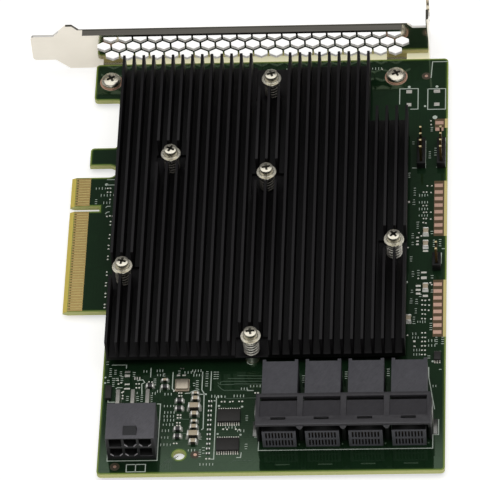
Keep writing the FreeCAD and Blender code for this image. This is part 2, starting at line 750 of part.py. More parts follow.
# Sprung screws: each holds the heatsink down through a coil spring, into a standoff that is
# pressed into the board from behind.
def make_sink_fasteners():
    flange_z = "dim.screw_top_z - dim.screw_head_height - dim.screw_flange"
    floor_z = "dim.sink_under_z + dim.pocket_floor"
    screws, springs, standoffs = [], [], []
    coil = wire_coil(number(floor_z), number(flange_z))
    for x, y in SCREWS:
        head = domed_head("sink_screw_head", (x, y, "dim.screw_top_z - dim.screw_head_height"),
                          "dim.screw_head_radius", "dim.screw_head_height",
                          "dim.screw_head_inset", "dim.screw_head_drop")
        washer = rod("sink_screw_flange", (x, y, flange_z), "dim.screw_flange_radius", "dim.screw_flange")
        shank = rod("sink_screw_shank", (x, y, "dim.screw_tip_z"), "dim.screw_shank_radius",
                    f"{flange_z} - dim.screw_tip_z")
        solid = fused("sink_screw", [head, washer, shank])
        screws.append(cut("sink_screw_cut", solid, cross_recess(x, y, "dim.screw_top_z")))
        spring = doc.addObject("Part::Feature", "spring")
        spring.Shape = coil
        springs.append(place(spring, x, y, floor_z))
        barrel = rod("standoff_barrel", (x, y, "-dim.standoff_flange"), "dim.standoff_radius",
                     "dim.sink_under_z + dim.standoff_flange")
        nut = doc.addObject("Part::Prism", "standoff_nut")
        nut.Polygon = 6
        bind(nut, Circumradius="dim.standoff_flat", Height="dim.standoff_flange")
        place(nut, x, y, "-dim.standoff_flange")
        bore = rod("standoff_bore", (x, y, "0"), "dim.screw_shank_radius + dim.thread_clearance",
                   "dim.sink_under_z + 1")
        standoffs.append(cut("standoff", fused("standoff_solid", [barrel, nut]), bore))
    group("heatsink_screws", screws)
    group("heatsink_springs", springs)
    group("heatsink_standoffs", standoffs)


def wire_coil(low, high):
    """A coil of square-cornered wire from its foot at Z 0, wound in short straight lengths."""
    radius = number("dim.spring_radius")
    half = number("dim.spring_wire / 2")
    turns = number("dim.spring_turns")
    per_turn = 6
    steps = int(round(turns * per_turn))
    climb = high - low - 2 * half
    rings = []
    for step in range(steps + 1):
        turn = 2 * math.pi * step / per_turn
        middle = half + climb * step / steps
        out = FreeCAD.Vector(math.cos(turn), math.sin(turn), 0)
        centre = out * radius + FreeCAD.Vector(0, 0, middle)
        up = FreeCAD.Vector(0, 0, half)
        rings.append([centre - out * half, centre - up, centre + out * half, centre + up])
    faces = []
    for ring, following in zip(rings, rings[1:]):
        for side in range(4):
            other = (side + 1) % 4
            corners = [ring[side], ring[other], following[other], following[side]]
            faces.append(triangle(corners[0], corners[1], corners[2]))
            faces.append(triangle(corners[0], corners[2], corners[3]))
    for ring in (rings[0], rings[-1]):
        faces.append(Part.Face(Part.makePolygon(ring + ring[:1])))
    solid = Part.Solid(Part.Shell(faces))
    solid.fix(1e-6, 1e-6, 1e-6)
    return solid


def triangle(first, second, third):
    return Part.Face(Part.makePolygon([first, second, third, first]))


# Packages under the heatsink: a laminate carrier with a metal lid, and a soft pad that fills the
# gap to the heatsink. Each sits midway between a pair of sprung screws.
def make_packages():
    for index, (label, ((x1, y1), (x2, y2))) in enumerate(PACKAGES.items(), start=1):
        x, y = f"({x1} + {x2}) / 2", f"({y1} + {y2}) / 2"
        body = place(new_body(label), x, y, BOARD_TOP)
        carrier = sketch_on(body, f"carrier_{index}_outline", "XY_Plane")
        rectangle(carrier, "0", "0", "dim.package_side", "dim.package_side")
        pad(body, carrier, f"carrier_{index}", "dim.package_thick")
        lid = sketch_on(body, f"lid_{index}_outline", "XY_Plane", "dim.package_thick")
        rectangle(lid, "0", "0", "dim.lid_side", "dim.lid_side")
        rise = f"dim.sink_under_z - dim.pad_thick - {BOARD_TOP} - dim.package_thick"
        pad(body, lid, f"lid_{index}", rise)
        soft = block("thermal_pad", (f"{x} - dim.pad_side / 2", f"{y} - dim.pad_side / 2",
                                     "dim.sink_under_z - dim.pad_thick"),
                     ("dim.pad_side", "dim.pad_side", "dim.pad_thick"))
        keep(soft, f"thermal_pad_{index}")


# Drive connector shroud: one moulding over four ports. Its visor stands forward over the ports,
# and its roof has a sunk panel, a slot and a latch window for each.
def make_port_shroud():
    body = new_body("port_shroud")
    place(body, f"dim.port_first_x + 1.5 * {PORT_PITCH}", "dim.port_front_y", BOARD_TOP)
    middle = f"-1.5 * {PORT_PITCH}"
    solid = sketch_on(body, "shroud_outline", "XY_Plane")
    span(solid, f"-{PORT_WIDTH} / 2", "0", f"{PORT_WIDTH} / 2", "dim.port_depth")
    pad(body, solid, "shroud_solid", "dim.port_height")
    run = f"3 * {PORT_PITCH}"
    cavity = sketch_on(body, "cavity_outline", "XZ_Plane", "1")
    span(cavity, f"{middle} - {CAVITY_WIDTH} / 2", "-1",
         f"{middle} + {CAVITY_WIDTH} / 2", "dim.port_cavity_height")
    first = pocket(body, cavity, "first_cavity", "dim.port_depth + 2")
    repeat(body, first, "cavities", "X_Axis", run, "4")
    chin = sketch_on(body, "chin_outline", "XZ_Plane", "1")
    span(chin, f"-{PORT_WIDTH} / 2 - 1", "-1", f"{PORT_WIDTH} / 2 + 1",
         "dim.port_height - dim.port_visor")
    pocket(body, chin, "chin", "dim.port_setback + 1")
    panel_width = f"({CAVITY_WIDTH} - 2 * dim.panel_inset)"
    for name, front, rear, width, depth in (
            ("panel", "dim.panel_front", "dim.panel_rear", panel_width, "dim.panel_depth"),
            ("slot", "dim.panel_rear - dim.rear_slot", "dim.panel_rear", panel_width, "3"),
            ("window", "dim.window_front", "dim.window_front + dim.window_length",
             "dim.window_width", "3")):
        shape = sketch_on(body, f"{name}_outline", "XY_Plane", "dim.port_height")
        span(shape, f"{middle} - {width} / 2", front, f"{middle} + {width} / 2", rear)
        first = pocket(body, shape, f"first_{name}", depth)
        repeat(body, first, f"{name}s", "X_Axis", run, "4")


# Port modules: each carries one port's contacts. A tongue reaches forward inside the shroud, with
# two combs of contact slots in its face, and the block behind it stands on the board.
def make_port_modules():
    blades = []
    half = f"{MODULE_WIDTH} / 2"
    for index, x in enumerate(PORTS, start=1):
        body = place(new_body(f"port_module_{index}"), x, "dim.port_front_y", BOARD_TOP)
        rear = sketch_on(body, f"rear_block_{index}_outline", "XY_Plane")
        outline(rear, [
            (f"-{half}", "dim.port_depth - 1"),
            (half, "dim.port_depth - 1"),
            (half, "dim.module_rear"),
            (f"{half} - dim.module_rib", "dim.module_rear"),
            (f"{half} - dim.module_rib", "dim.module_rear - dim.module_rib_reach"),
            (f"-{half} + dim.module_rib", "dim.module_rear - dim.module_rib_reach"),
            (f"-{half} + dim.module_rib", "dim.module_rear"),
            (f"-{half}", "dim.module_rear"),
        ])
        pad(body, rear, f"rear_block_{index}", "dim.module_height")
        tongue = sketch_on(body, f"tongue_{index}_outline", "XY_Plane")
        span(tongue, "-dim.tongue_width / 2", "dim.tongue_front",
             "dim.tongue_width / 2", "dim.port_depth")
        pad(body, tongue, f"tongue_{index}", "dim.tongue_height")
        start = "-(dim.comb_count - 1) / 2 * dim.comb_pitch"
        for row in (0, 1):
            low_z = f"dim.comb_low_z + {row} * dim.comb_row_rise"
            slot = sketch_on(body, f"comb_{index}_{row}_outline", "XZ_Plane", "-dim.tongue_front")
            span(slot, f"{start} - dim.comb_width / 2", low_z,
                 f"{start} + dim.comb_width / 2", f"{low_z} + dim.comb_height")
            first = pocket(body, slot, f"comb_{index}_{row}_first", "dim.comb_depth")
            repeat(body, first, f"comb_{index}_{row}", "X_Axis",
                   "(dim.comb_count - 1) * dim.comb_pitch", "dim.comb_count")
            for step in range(int(SIZES["comb_count"])):
                middle = f"{x} + {start} + {step} * dim.comb_pitch"
                low = (f"{middle} - dim.blade_thick / 2",
                       "dim.port_front_y + dim.tongue_front + dim.blade_inset",
                       f"{BOARD_TOP} + {low_z}")
                size = ("dim.blade_thick", "dim.comb_depth - dim.blade_inset", "dim.comb_height")
                blades.append(block("port_blade", low, size))
    group("port_contacts", blades)


# Board locks: a folded steel clip on each end of the shroud, with a foot on the board and a peg
# through it.
def make_board_locks():
    middle = f"dim.port_first_x + 1.5 * {PORT_PITCH}"
    for label, side in (("board_lock_left", -1), ("board_lock_right", 1)):
        wall_x = f"{middle} + {side} * {PORT_WIDTH} / 2"
        plate_low = f"{wall_x} - dim.lock_thick" if side < 0 else wall_x
        foot_low = f"{wall_x} - dim.lock_foot" if side < 0 else wall_x
        front = "dim.port_front_y + dim.lock_front"
        plate = block("lock_plate", (plate_low, front, BOARD_TOP),
                      ("dim.lock_thick", "dim.lock_length", "dim.lock_height"))
        foot = block("lock_foot", (foot_low, front, BOARD_TOP),
                     ("dim.lock_foot", "dim.lock_length", "dim.lock_thick"))
        peg = block("lock_peg", (plate_low, f"{lock_middle()} - dim.lock_peg / 2", "-dim.tail_under"),
                    ("dim.lock_thick", "dim.lock_peg", f"{BOARD_TOP} + dim.tail_under + 0.1"))
        keep(fused(label, [plate, foot, peg]), label)


# Supply connector: a moulded block with two rows of three sockets. Four sockets are keyed by
# cut corners, and a ramp on the roof catches the plug's latch.
def make_power_housing():
    body = new_body("power_housing")
    place(body, "dim.power_x", "dim.power_front_y", BOARD_TOP)
    solid = sketch_on(body, "power_outline", "XY_Plane")
    span(solid, "-dim.power_width / 2", "0", "dim.power_width / 2", "dim.power_depth")
    pad(body, solid, "power_solid", "dim.power_height")
    half = "dim.power_cavity / 2"
    sockets = sketch_on(body, "socket_outline", "XZ_Plane")
    for column in (-1, 0, 1):
        for row in (0, 1):
            x = f"{column} * dim.power_pitch"
            z = f"dim.power_low_z + {row} * dim.power_pitch"
            points = [(f"{x} + {half}", f"{z} + {half}"), (f"{x} - {half}", f"{z} + {half}")]
            if (column, row) in ((-1, 1), (1, 0)):
                points += [(f"{x} - {half}", f"{z} - {half}"), (f"{x} + {half}", f"{z} - {half}")]
            else:
                points += [
                    (f"{x} - {half}", f"{z} - {half} + dim.power_key"),
                    (f"{x} - {half} + dim.power_key", f"{z} - {half}"),
                    (f"{x} + {half} - dim.power_key", f"{z} - {half}"),
                    (f"{x} + {half}", f"{z} - {half} + dim.power_key"),
                ]
            outline(sockets, points)
    pocket(body, sockets, "sockets", "dim.power_cavity_depth")
    ramp = sketch_on(body, "ramp_outline", "YZ_Plane", "-dim.ramp_width / 2")
    outline(ramp, [
        ("dim.ramp_front", "dim.power_height"),
        ("dim.ramp_front + dim.ramp_length", "dim.power_height"),
        ("dim.ramp_front + dim.ramp_length", "dim.power_height + dim.ramp_height"),
    ])
    pad(body, ramp, "latch_ramp", "dim.ramp_width")
    passages = sketch_on(body, "pin_passage_outline", "XZ_Plane", "-dim.power_cavity_depth + 1")
    for column in (-1, 0, 1):
        for row in (0, 1):
            rectangle(passages, f"{column} * dim.power_pitch",
                      f"dim.power_low_z + {row} * dim.power_pitch", "dim.power_pin", "dim.power_pin")
    pocket(body, passages, "pin_passages", "dim.power_depth - dim.power_cavity_depth + 2")


# Supply pins: square wire, straight through the housing's back wall and bent down through the
# board. The high row bends behind the low row.
def make_power_pins():
    pins = []
    half = "dim.power_pin / 2"
    rear = "dim.power_front_y + dim.power_depth"
    for column in (-1, 0, 1):
        x = f"dim.power_x + {column} * dim.power_pitch - {half}"
        for row, leg in ((0, "dim.power_low_leg"), (1, "dim.power_high_leg")):
            z = f"{BOARD_TOP} + dim.power_low_z + {row} * dim.power_pitch - {half}"
            front = "dim.power_front_y + dim.power_pin_front"
            leg_y = f"{rear} + {leg} - {half}"
            bar = block("power_bar", (x, front, z),
                        ("dim.power_pin", f"{leg_y} + dim.power_pin - ({front})", "dim.power_pin"))
            drop = block("power_leg", (x, leg_y, "-dim.tail_under"),
                         ("dim.power_pin", "dim.power_pin", f"{z} + dim.power_pin + dim.tail_under"))
            pins.append(fused("power_pin", [bar, drop]))
    group("power_pins", pins)


# Two small outline logic packages with gull-wing leads on their long sides.
def make_logic_chips():
    leads = []
    for index in (1, 2):
        y = f"dim.logic_{index}_y"
        body = place(new_body(f"logic_chip_{index}"), "dim.logic_x", y, BOARD_TOP)
        shape = sketch_on(body, f"logic_{index}_outline", "XY_Plane", "dim.logic_lift")
        rectangle(shape, "0", "0", "dim.logic_length", "dim.logic_width")
        pad(body, shape, f"logic_{index}_solid", "dim.logic_thick")
        for side in (-1, 1):
            for step in range(int(SIZES["lead_count"])):
                leads.append(gull_wing(y, side, f"({step} - (dim.lead_count - 1) / 2) * dim.lead_pitch"))
    group("logic_chip_leads", leads)


def gull_wing(y, side, shift):
    """One lead: out of the package's side, down, and flat on the board."""
    x = f"dim.logic_x + {shift} - dim.lead_width / 2"
    wall = f"{y} + {side} * dim.logic_width / 2"
    knee = "(dim.lead_reach - dim.lead_foot)"

    def strip(name, start, length, low, height):
        low_y = f"{wall} + {start}" if side > 0 else f"{wall} - ({start}) - ({length})"
        return block(name, (x, low_y, low), ("dim.lead_width", length, height))

    shoulder = strip("lead_shoulder", "0", knee, f"{BOARD_TOP} + dim.lead_rise - dim.lead_thick",
                     "dim.lead_thick")
    drop = strip("lead_drop", f"{knee} - dim.lead_thick", "dim.lead_thick", BOARD_TOP, "dim.lead_rise")
    foot = strip("lead_foot", f"{knee} - dim.lead_thick", "dim.lead_foot + dim.lead_thick", BOARD_TOP,
                 "dim.lead_thick")
    return fused("gull_wing", [shoulder, drop, foot])


# Pin headers near the card's top edge: a moulded strip and square pins through it and the board.
def make_headers():
    pins = []
    for index, count in ((1, 4), (2, 4), (3, 2)):
        x, y = f"dim.header_{index}_x", f"dim.header_{index}_y"
        base = block("header_strip", (
            f"{x} - dim.header_width / 2", f"{y} - dim.header_pitch / 2", BOARD_TOP),
            ("dim.header_width", f"{count} * dim.header_pitch", "dim.header_height"))
        holes = []
        for step in range(count):
            spot = (f"{x} - dim.header_pin / 2",
                    f"{y} + {step} * dim.header_pitch - dim.header_pin / 2")
            holes.append(block("header_pin_hole", (*spot, BOARD_TOP),
                               ("dim.header_pin", "dim.header_pin", "dim.header_height + 1")))
            pins.append(block("header_pin", (*spot, "-dim.tail_under"),
                              ("dim.header_pin", "dim.header_pin", "dim.header_top_z + dim.tail_under")))
        keep(cut(f"header_{index}", base, fused("header_holes", holes)), f"header_{index}")
    group("header_pins", pins)


# Chip components, each a ceramic or ferrite block between two metal ends. They lie along X, apart
# from the capacitors near the card's top edge, which lie along Y.
def make_chip_components():
    capacitor_ends, bead_ends = [], []
    for kind, count, along_x, ends in (
            ("large_capacitor", 2, True, capacitor_ends),
            ("small_capacitor", 4, True, capacitor_ends),
            ("tiny_capacitor", 3, True, capacitor_ends),
            ("edge_capacitor", 4, False, capacitor_ends),
            ("ferrite_bead", 6, True, bead_ends)):
        bodies = []
        length, width, height = (f"dim.{kind}_{side}" for side in ("length", "width", "height"))
        inner = f"({length} - 2 * dim.terminal)"
        shift = f"({length} - dim.terminal) / 2"
        wide = f"({width} + 2 * dim.terminal_over)"
        tall = f"{height} + dim.terminal_over"
        for index in range(1, count + 1):
            x, y = f"dim.{kind}_{index}_x", f"dim.{kind}_{index}_y"
            size = (inner, width, height) if along_x else (width, inner, height)
            bodies.append(block_about("chip_body", x, y, BOARD_TOP, size))
            for sign in ("-", "+"):
                if along_x:
                    end = block_about("chip_end", f"{x} {sign} {shift}", y, BOARD_TOP,
                                      ("dim.terminal", wide, tall))
                else:
                    end = block_about("chip_end", x, f"{y} {sign} {shift}", BOARD_TOP,
                                      (wide, "dim.terminal", tall))
                ends.append(end)
        group(f"{kind}s", bodies)
    group("capacitor_ends", capacitor_ends)
    group("bead_ends", bead_ends)


# Other small parts: a crystal in a metal can on a ceramic tray, a choke at the board's left edge,
# a regulator at its right edge, a row of resistors beside the logic packages, and the bypass
# capacitors behind each large package.
def make_small_parts():
    tray = block_about("crystal_tray_block", "dim.crystal_x", "dim.crystal_y", BOARD_TOP,
                       ("dim.crystal_side", "dim.crystal_side", "dim.crystal_tray_height"))
    keep(tray, "crystal_tray")
    can = block_about("crystal_can_block", "dim.crystal_x", "dim.crystal_y",
                      f"{BOARD_TOP} + dim.crystal_tray_height",
                      ("dim.crystal_can_side", "dim.crystal_can_side", "dim.crystal_can_height"))
    keep(can, "crystal_can")
    choke = block_about("choke_block", "dim.choke_x", "dim.choke_y", BOARD_TOP,
                        ("dim.choke_width", "dim.choke_length", "dim.choke_height"))
    keep(choke, "edge_choke")
    regulator = block_about("regulator_block", "dim.regulator_x", "dim.regulator_y", BOARD_TOP,
                            ("dim.regulator_width", "dim.regulator_length", "dim.regulator_height"))
    keep(regulator, "regulator_chip")
    resistors = []
    for step in range(int(SIZES["resistor_count"])):
        y = f"dim.resistor_y - {step} * dim.resistor_pitch"
        resistors.append(block_about("resistor_block", "dim.resistor_x", y, BOARD_TOP, (
            "dim.resistor_length", "dim.resistor_width", "dim.resistor_height")))
    group("small_resistors", resistors)
    bypass = []
    for (x1, y1), (x2, y2) in PACKAGES.values():
        for column in (-1, 0, 1):
            for row in (-1, 0, 1):
                x = f"({x1} + {x2}) / 2 + {column} * dim.bypass_pitch"
                y = f"({y1} + {y2}) / 2 + {row} * dim.bypass_pitch"
                bypass.append(block_about("bypass_block", x, y, "-dim.bypass_height", (
                    "dim.bypass_length", "dim.bypass_width", "dim.bypass_height")))
    group("bypass_capacitors", bypass)


# Bare copper test pads along the card's top edge.
def make_test_pads():
    pads = []
    for row in (1, 2, 3):
        for step in range(int(SIZES[f"test_row_{row}_count"])):
            y = f"dim.test_row_{row}_y - {step} * dim.test_pad_pitch - dim.test_pad_width / 2"
            pads.append(block("test_pad", ("dim.test_pad_x", y, BOARD_TOP),
                              ("dim.test_pad_length", "dim.test_pad_width", "dim.test_pad_thick")))
    group("test_pads", pads)


make_board()
make_edge_contacts()
make_bracket()
make_bracket_screws()
make_heatsink()
make_sink_fasteners()
make_packages()
make_port_shroud()
make_port_modules()
make_board_locks()
make_power_housing()
make_power_pins()
make_logic_chips()
make_headers()
make_chip_components()
make_small_parts()
make_test_pads()
doc.recompute()

for obj in doc.Objects:
    if {"Invalid", "Error"} & set(obj.State):
        raise RuntimeError(f"{obj.Label} failed: {obj.State}")
os.makedirs("parts", exist_ok=True)
for obj in NODES:
    if obj.Shape.isNull() or not obj.Shape.isValid():
        raise RuntimeError(f"{obj.Label} has no valid shape")
    obj.Shape.exportStep(os.path.join("parts", f"{obj.Label}.step"))
print(len(NODES), "sub-parts written")
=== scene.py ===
import math
import random

import bmesh
import bpy
from mathutils import Euler, Matrix, Vector


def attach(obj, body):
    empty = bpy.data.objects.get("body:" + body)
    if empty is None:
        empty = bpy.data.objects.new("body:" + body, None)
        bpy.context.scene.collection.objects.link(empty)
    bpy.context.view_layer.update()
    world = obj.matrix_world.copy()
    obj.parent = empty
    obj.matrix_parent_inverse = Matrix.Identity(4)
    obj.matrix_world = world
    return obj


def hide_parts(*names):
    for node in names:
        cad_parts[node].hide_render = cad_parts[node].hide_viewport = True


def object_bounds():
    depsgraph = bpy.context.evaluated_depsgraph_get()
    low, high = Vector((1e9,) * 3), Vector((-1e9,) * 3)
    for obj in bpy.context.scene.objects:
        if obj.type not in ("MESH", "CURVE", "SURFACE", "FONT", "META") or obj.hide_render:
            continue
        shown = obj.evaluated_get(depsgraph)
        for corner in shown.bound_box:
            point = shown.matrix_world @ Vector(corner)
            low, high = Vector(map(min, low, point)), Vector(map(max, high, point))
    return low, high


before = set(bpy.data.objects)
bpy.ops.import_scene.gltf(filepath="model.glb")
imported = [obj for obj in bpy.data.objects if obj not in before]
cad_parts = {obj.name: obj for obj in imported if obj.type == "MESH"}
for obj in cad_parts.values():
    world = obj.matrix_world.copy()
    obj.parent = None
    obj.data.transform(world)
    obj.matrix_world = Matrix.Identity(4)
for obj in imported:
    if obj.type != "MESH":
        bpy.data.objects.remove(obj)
cad_low, cad_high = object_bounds()

# Camera: it stands at the card's near edge and looks down at about 50 degrees through a long lens,
# turned a little so that the card's far end leans to the right.
scene = bpy.context.scene


def placed(name, data):
    """An object in the scene from a camera, a lamp or a mesh."""
    made = bpy.data.objects.new(name, data)
    scene.collection.objects.link(made)
    return made


camera = placed("camera", bpy.data.cameras.new("camera"))
camera.data.sensor_fit = "HORIZONTAL"
camera.data.sensor_width = 36
camera.data.lens = 368.58
camera.data.clip_end = 10
camera.location = (0.15436, -0.93714, 1.09619)
camera.rotation_euler = Euler([math.radians(turn) for turn in (40.2054, 3.7749, 1.945)])
scene.camera = camera
scene.view_settings.view_transform = "Standard"


# Light: one large soft box overhead, a low one behind the camera, and a dim even room. The mask's
# gloss shows the far edge of the box overhead across the card's near end.
def soft_box(name, place, target, width, depth, power):
    """A rectangular lamp at a place, facing a target."""
    lamp = bpy.data.lights.new(name, "AREA")
    lamp.shape = "RECTANGLE"
    lamp.size = width
    lamp.size_y = depth
    lamp.energy = power
    holder = placed(name, lamp)
    holder.location = place
    holder.rotation_euler = (Vector(target) - Vector(place)).to_track_quat("-Z", "Y").to_euler()


soft_box("overhead_box", (0.05, 0.085, 1.3), (0.05, 0.085, 0.0), 2.6, 1.67, 17.3)
soft_box("front_box", (0.2, -1.5, 0.5), (0.05, 0.0, 0.0), 1.3, 0.6, 4.5)
room = bpy.data.worlds.new("room")
scene.world = room
room.use_nodes = True
background = room.node_tree.nodes["Background"]
background.inputs["Color"].default_value = (1.0, 1.0, 1.0, 1)
background.inputs["Strength"].default_value = 0.15


# Floor: a wide pale sheet under the card. It shows near white to the camera and in the card's
# metal, and keeps the card's soft shadow.
class Shade:
    """One socket of a material. Arithmetic on it adds Math nodes to the same material."""

    def __init__(self, tree, socket=None):
        self.tree = tree
        self.socket = socket

    def node(self, kind, settings=None, inputs=None, output=0):
        """Adds a node: its settings come first, then the values or links of its sockets."""
        made = self.tree.nodes.new(kind)
        for name, value in (settings or {}).items():
            setattr(made, name, value)
        for name, value in (inputs or {}).items():
            self.feed(made.inputs[name], value)
        return Shade(self.tree, made.outputs[output])

    def feed(self, socket, value):
        """Gives a node's socket a link or a value of its own."""
        if isinstance(value, Shade):
            self.tree.links.new(value.socket, socket)
        elif socket.type == "RGBA":
            socket.default_value = (*value, 1)
        else:
            socket.default_value = value

    def math(self, operation, *values):
        return self.node("ShaderNodeMath", {"operation": operation}, dict(enumerate(values)))

    def __add__(self, other):
        return self.math("ADD", self, other)

    def __sub__(self, other):
        return self.math("SUBTRACT", self, other)

    def __rsub__(self, other):
        return self.math("SUBTRACT", other, self)

    def __mul__(self, other):
        return self.math("MULTIPLY", self, other)

    def __gt__(self, other):
        return self.math("GREATER_THAN", self, other)

    def __lt__(self, other):
        return self.math("LESS_THAN", self, other)

    def __abs__(self):
        return self.math("ABSOLUTE", self)

    __radd__ = __add__
    __rmul__ = __mul__
    x = property(lambda self: self.part("X"))
    y = property(lambda self: self.part("Y"))
    z = property(lambda self: self.part("Z"))

    def part(self, axis):
        """One coordinate of a place or of a direction."""
        return self.node("ShaderNodeSeparateXYZ", {}, {"Vector": self}, "XYZ".index(axis))

    def clamped(self):
        return self.node("ShaderNodeClamp", {}, {"Value": self})

    def blend(self, low, high):
        """A colour between two colours, by this value."""
        return self.node("ShaderNodeMix", {"data_type": "RGBA"}, {0: self, 6: low, 7: high}, 2)

    def stretched(self, *scale):
        """This place with each axis scaled by its own amount."""
        return self.node("ShaderNodeVectorMath", {"operation": "MULTIPLY"}, {0: self, 1: scale})

    def noise(self, scale, detail=2.0, roughness=0.5):
        return self.node("ShaderNodeTexNoise", {}, {
            "Vector": self, "Scale": scale, "Detail": detail, "Roughness": roughness})

    def bump(self, strength, microns):
        return self.node("ShaderNodeBump", {}, {
            "Height": self, "Strength": strength, "Distance": microns / 1e6})


def finish(name, look):
    """A material whose surface sockets take what look(place, facing) returns. The place is in
    millimetres in the card's frame and facing is the surface's own direction."""
    material = bpy.data.materials.new(name)
    material.use_nodes = True
    start = Shade(material.node_tree)
    place = start.node("ShaderNodeTexCoord", output=3)
    place = place.node("ShaderNodeVectorMath", {"operation": "SCALE"}, {0: place, "Scale": 1000.0})
    facing = start.node("ShaderNodeTexCoord", output=1)
    surface = material.node_tree.nodes["Principled BSDF"]
    for socket, value in look(place, facing).items():
        start.feed(surface.inputs[socket], value)
    return material


def floor_look(place, facing):
    to_camera = place.node("ShaderNodeLightPath", output=0)
    to_gloss = place.node("ShaderNodeLightPath", output=3)
    seen = (to_camera + to_gloss).clamped()
    paper = place.noise(0.02).blend((0.68, 0.67, 0.65), (0.7, 0.69, 0.67))
    return {"Base Color": paper, "Roughness": 0.9, "Specular IOR Level": 0.1,
            "Emission Color": seen.blend((0.0,) * 3, (0.6,) * 3), "Emission Strength": 1.0}


FLOOR_REACH = 4.0
FLOOR_GAP = 0.00002
floor_mesh = bpy.data.meshes.new("floor")
floor_mesh.from_pydata([(across * FLOOR_REACH, along * FLOOR_REACH, 0) for across, along in (
    (-1, -1), (1, -1), (1, 1), (-1, 1))], [], [(0, 1, 2, 3)])
floor = placed("floor", floor_mesh)
floor.location.z = cad_low.z - FLOOR_GAP
floor_mesh.materials.append(finish("floor_paper", floor_look))

# Circuit board: copper layers in glass laminate under a glossy green mask. The mask stops short of
# the finger edge and of the strip beside the test pads, and the cut edges show the glass.
MASK_TOP = 1.57
TAB_MASK_X = 5.65
TAB_END_Y = 13.0
CHAMFER_X = 1.5
PAD_LOW_X = 107.3
BARE_STRIP_X = 110.3
BARE_STRIPS = ((29.4, 33.0), (-12.6, 8.6), (-50.4, -29.2))


def open_rows(place, facing):
    """Where the mask stays open beside the test pads, on the component side."""
    y = place.y
    rows = sum((y > low) * (y < high) for low, high in BARE_STRIPS)
    return rows * (facing.z > 0)


def bare_glass(fibre):
    """Bare laminate over its last copper layer."""
    return fibre.blend((0.56, 0.46, 0.16), (0.8, 0.67, 0.29))


def board_look(place, facing):
    def waves(direction, scale, distortion, detail=1.0):
        return place.node("ShaderNodeTexWave", {"wave_type": "BANDS", "bands_direction": direction},
                          {"Vector": place, "Scale": scale, "Distortion": distortion,
                           "Detail": detail})

    x, y = place.x, place.y
    flat = abs(facing.z) > 0.97
    # Copper under the mask: wide planes, broken by bare lanes and by fine parallel tracks.
    planes = place.node("ShaderNodeTexVoronoi", {"distance": "MANHATTAN", "feature": "F1"},
                        {"Vector": place, "Scale": 0.11, "Randomness": 0.8}, 1)
    plane = planes.x > 0.45
    lanes = place.node("ShaderNodeTexVoronoi", {"feature": "DISTANCE_TO_EDGE"},
                       {"Vector": place, "Scale": 0.16, "Randomness": 1.0}) > 0.035
    routed = planes.y > 0.5
    track = (waves("X", 0.33, 1.4) * routed + waves("Y", 0.41, 1.1) * (1 - routed)) > 0.62
    copper = (plane * lanes + (1 - plane) * track).clamped()
    mottle = place.noise(0.35, 3.0)
    mask = copper.blend((0.0075, 0.0195, 0.008), (0.0088, 0.024, 0.0095))
    mask = (mottle * 0.5).blend(mask, (0.007, 0.024, 0.011))
    fibre = place.stretched(1.2, 1.2, 9.0).noise(1.6, 3.0)
    lit = (waves("Z", 1.5, 0.6, 2.0) * 0.5 + fibre * 0.4).clamped()
    laminate = lit.blend((0.46, 0.5, 0.13), (0.92, 0.89, 0.46))
    # The far cut edge, facing +Y, is painted paler as light from behind the card.
    laminate = (facing.y > 0.5).blend(laminate, (0.92, 0.88, 0.66))
    # The tab's chamfered edge is ground after plating, so its glass shows a warm yellow.
    ground = (x < CHAMFER_X) * (facing.z > 0.3)
    laminate = ground.blend(laminate, (0.7, 0.55, 0.11))
    rows = open_rows(place, facing)
    # Between the test pads the mask is open too, over a brown inner plane.
    between = (x > PAD_LOW_X) * (x < BARE_STRIP_X) * rows
    uncovered = ((x < TAB_MASK_X) * (y < TAB_END_Y) + (x > BARE_STRIP_X) * rows + between).clamped()
    covered = flat * (1 - uncovered)
    bare = between.blend(bare_glass(fibre * 0.6 + 0.2), (0.105, 0.05, 0.026))
    return {"Base Color": (flat * uncovered).blend(covered.blend(laminate, mask), bare),
            "Roughness": 0.55 - covered * 0.51 + place.noise(2.5) * 0.03,
            "Normal": (copper * covered * 0.3 + mottle * 0.25).bump(0.06, 20),
            "Specular IOR Level": 0.6, "Specular Tint": (0.7, 1.0, 0.68)}


def repaint(node, material):
    """Gives a CAD node's own mesh one finish."""
    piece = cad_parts[node]
    piece.data.materials.clear()
    piece.data.materials.append(material)


def solid(name, shape, material):
    """An object of one material from a bmesh in millimetres."""
    mesh = bpy.data.meshes.new(name)
    mesh.materials.append(material)
    bmesh.ops.scale(shape, vec=(0.001, 0.001, 0.001), verts=shape.verts)
    bmesh.ops.recalc_face_normals(shape, faces=shape.faces)
    shape.to_mesh(mesh)
    shape.free()
    return placed(name, mesh)


def add_piece(name, shape, material, stands_for=()):
    """Turns a bmesh into a piece of the card."""
    piece = solid(name, shape, material)
    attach(piece, "root")
    if stands_for:
        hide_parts(*stands_for)
    return piece


def bridge(shape, rings, capped=True):
    """Faces from each ring of vertices to the next, and over the first and the last one."""
    if capped:
        shape.faces.new(rings[0][::-1])
        shape.faces.new(rings[-1])
    for ring, following in zip(rings, rings[1:]):
        for side in range(max(len(ring), len(following))):
            corners = [row[step % len(row)] for row, step in (
                (ring, side), (ring, side + 1), (following, side + 1), (following, side))]
            shape.faces.new(list(dict.fromkeys(corners)))


def add_block(shape, x, y, width, depth, low_z, high_z):
    """An upright block about a place on the board."""
    bridge(shape, [[shape.verts.new((x + across * width, y + along * depth, z))
                    for across, along in ((-0.5, -0.5), (0.5, -0.5), (0.5, 0.5), (-0.5, 0.5))]
                   for z in (low_z, high_z)])


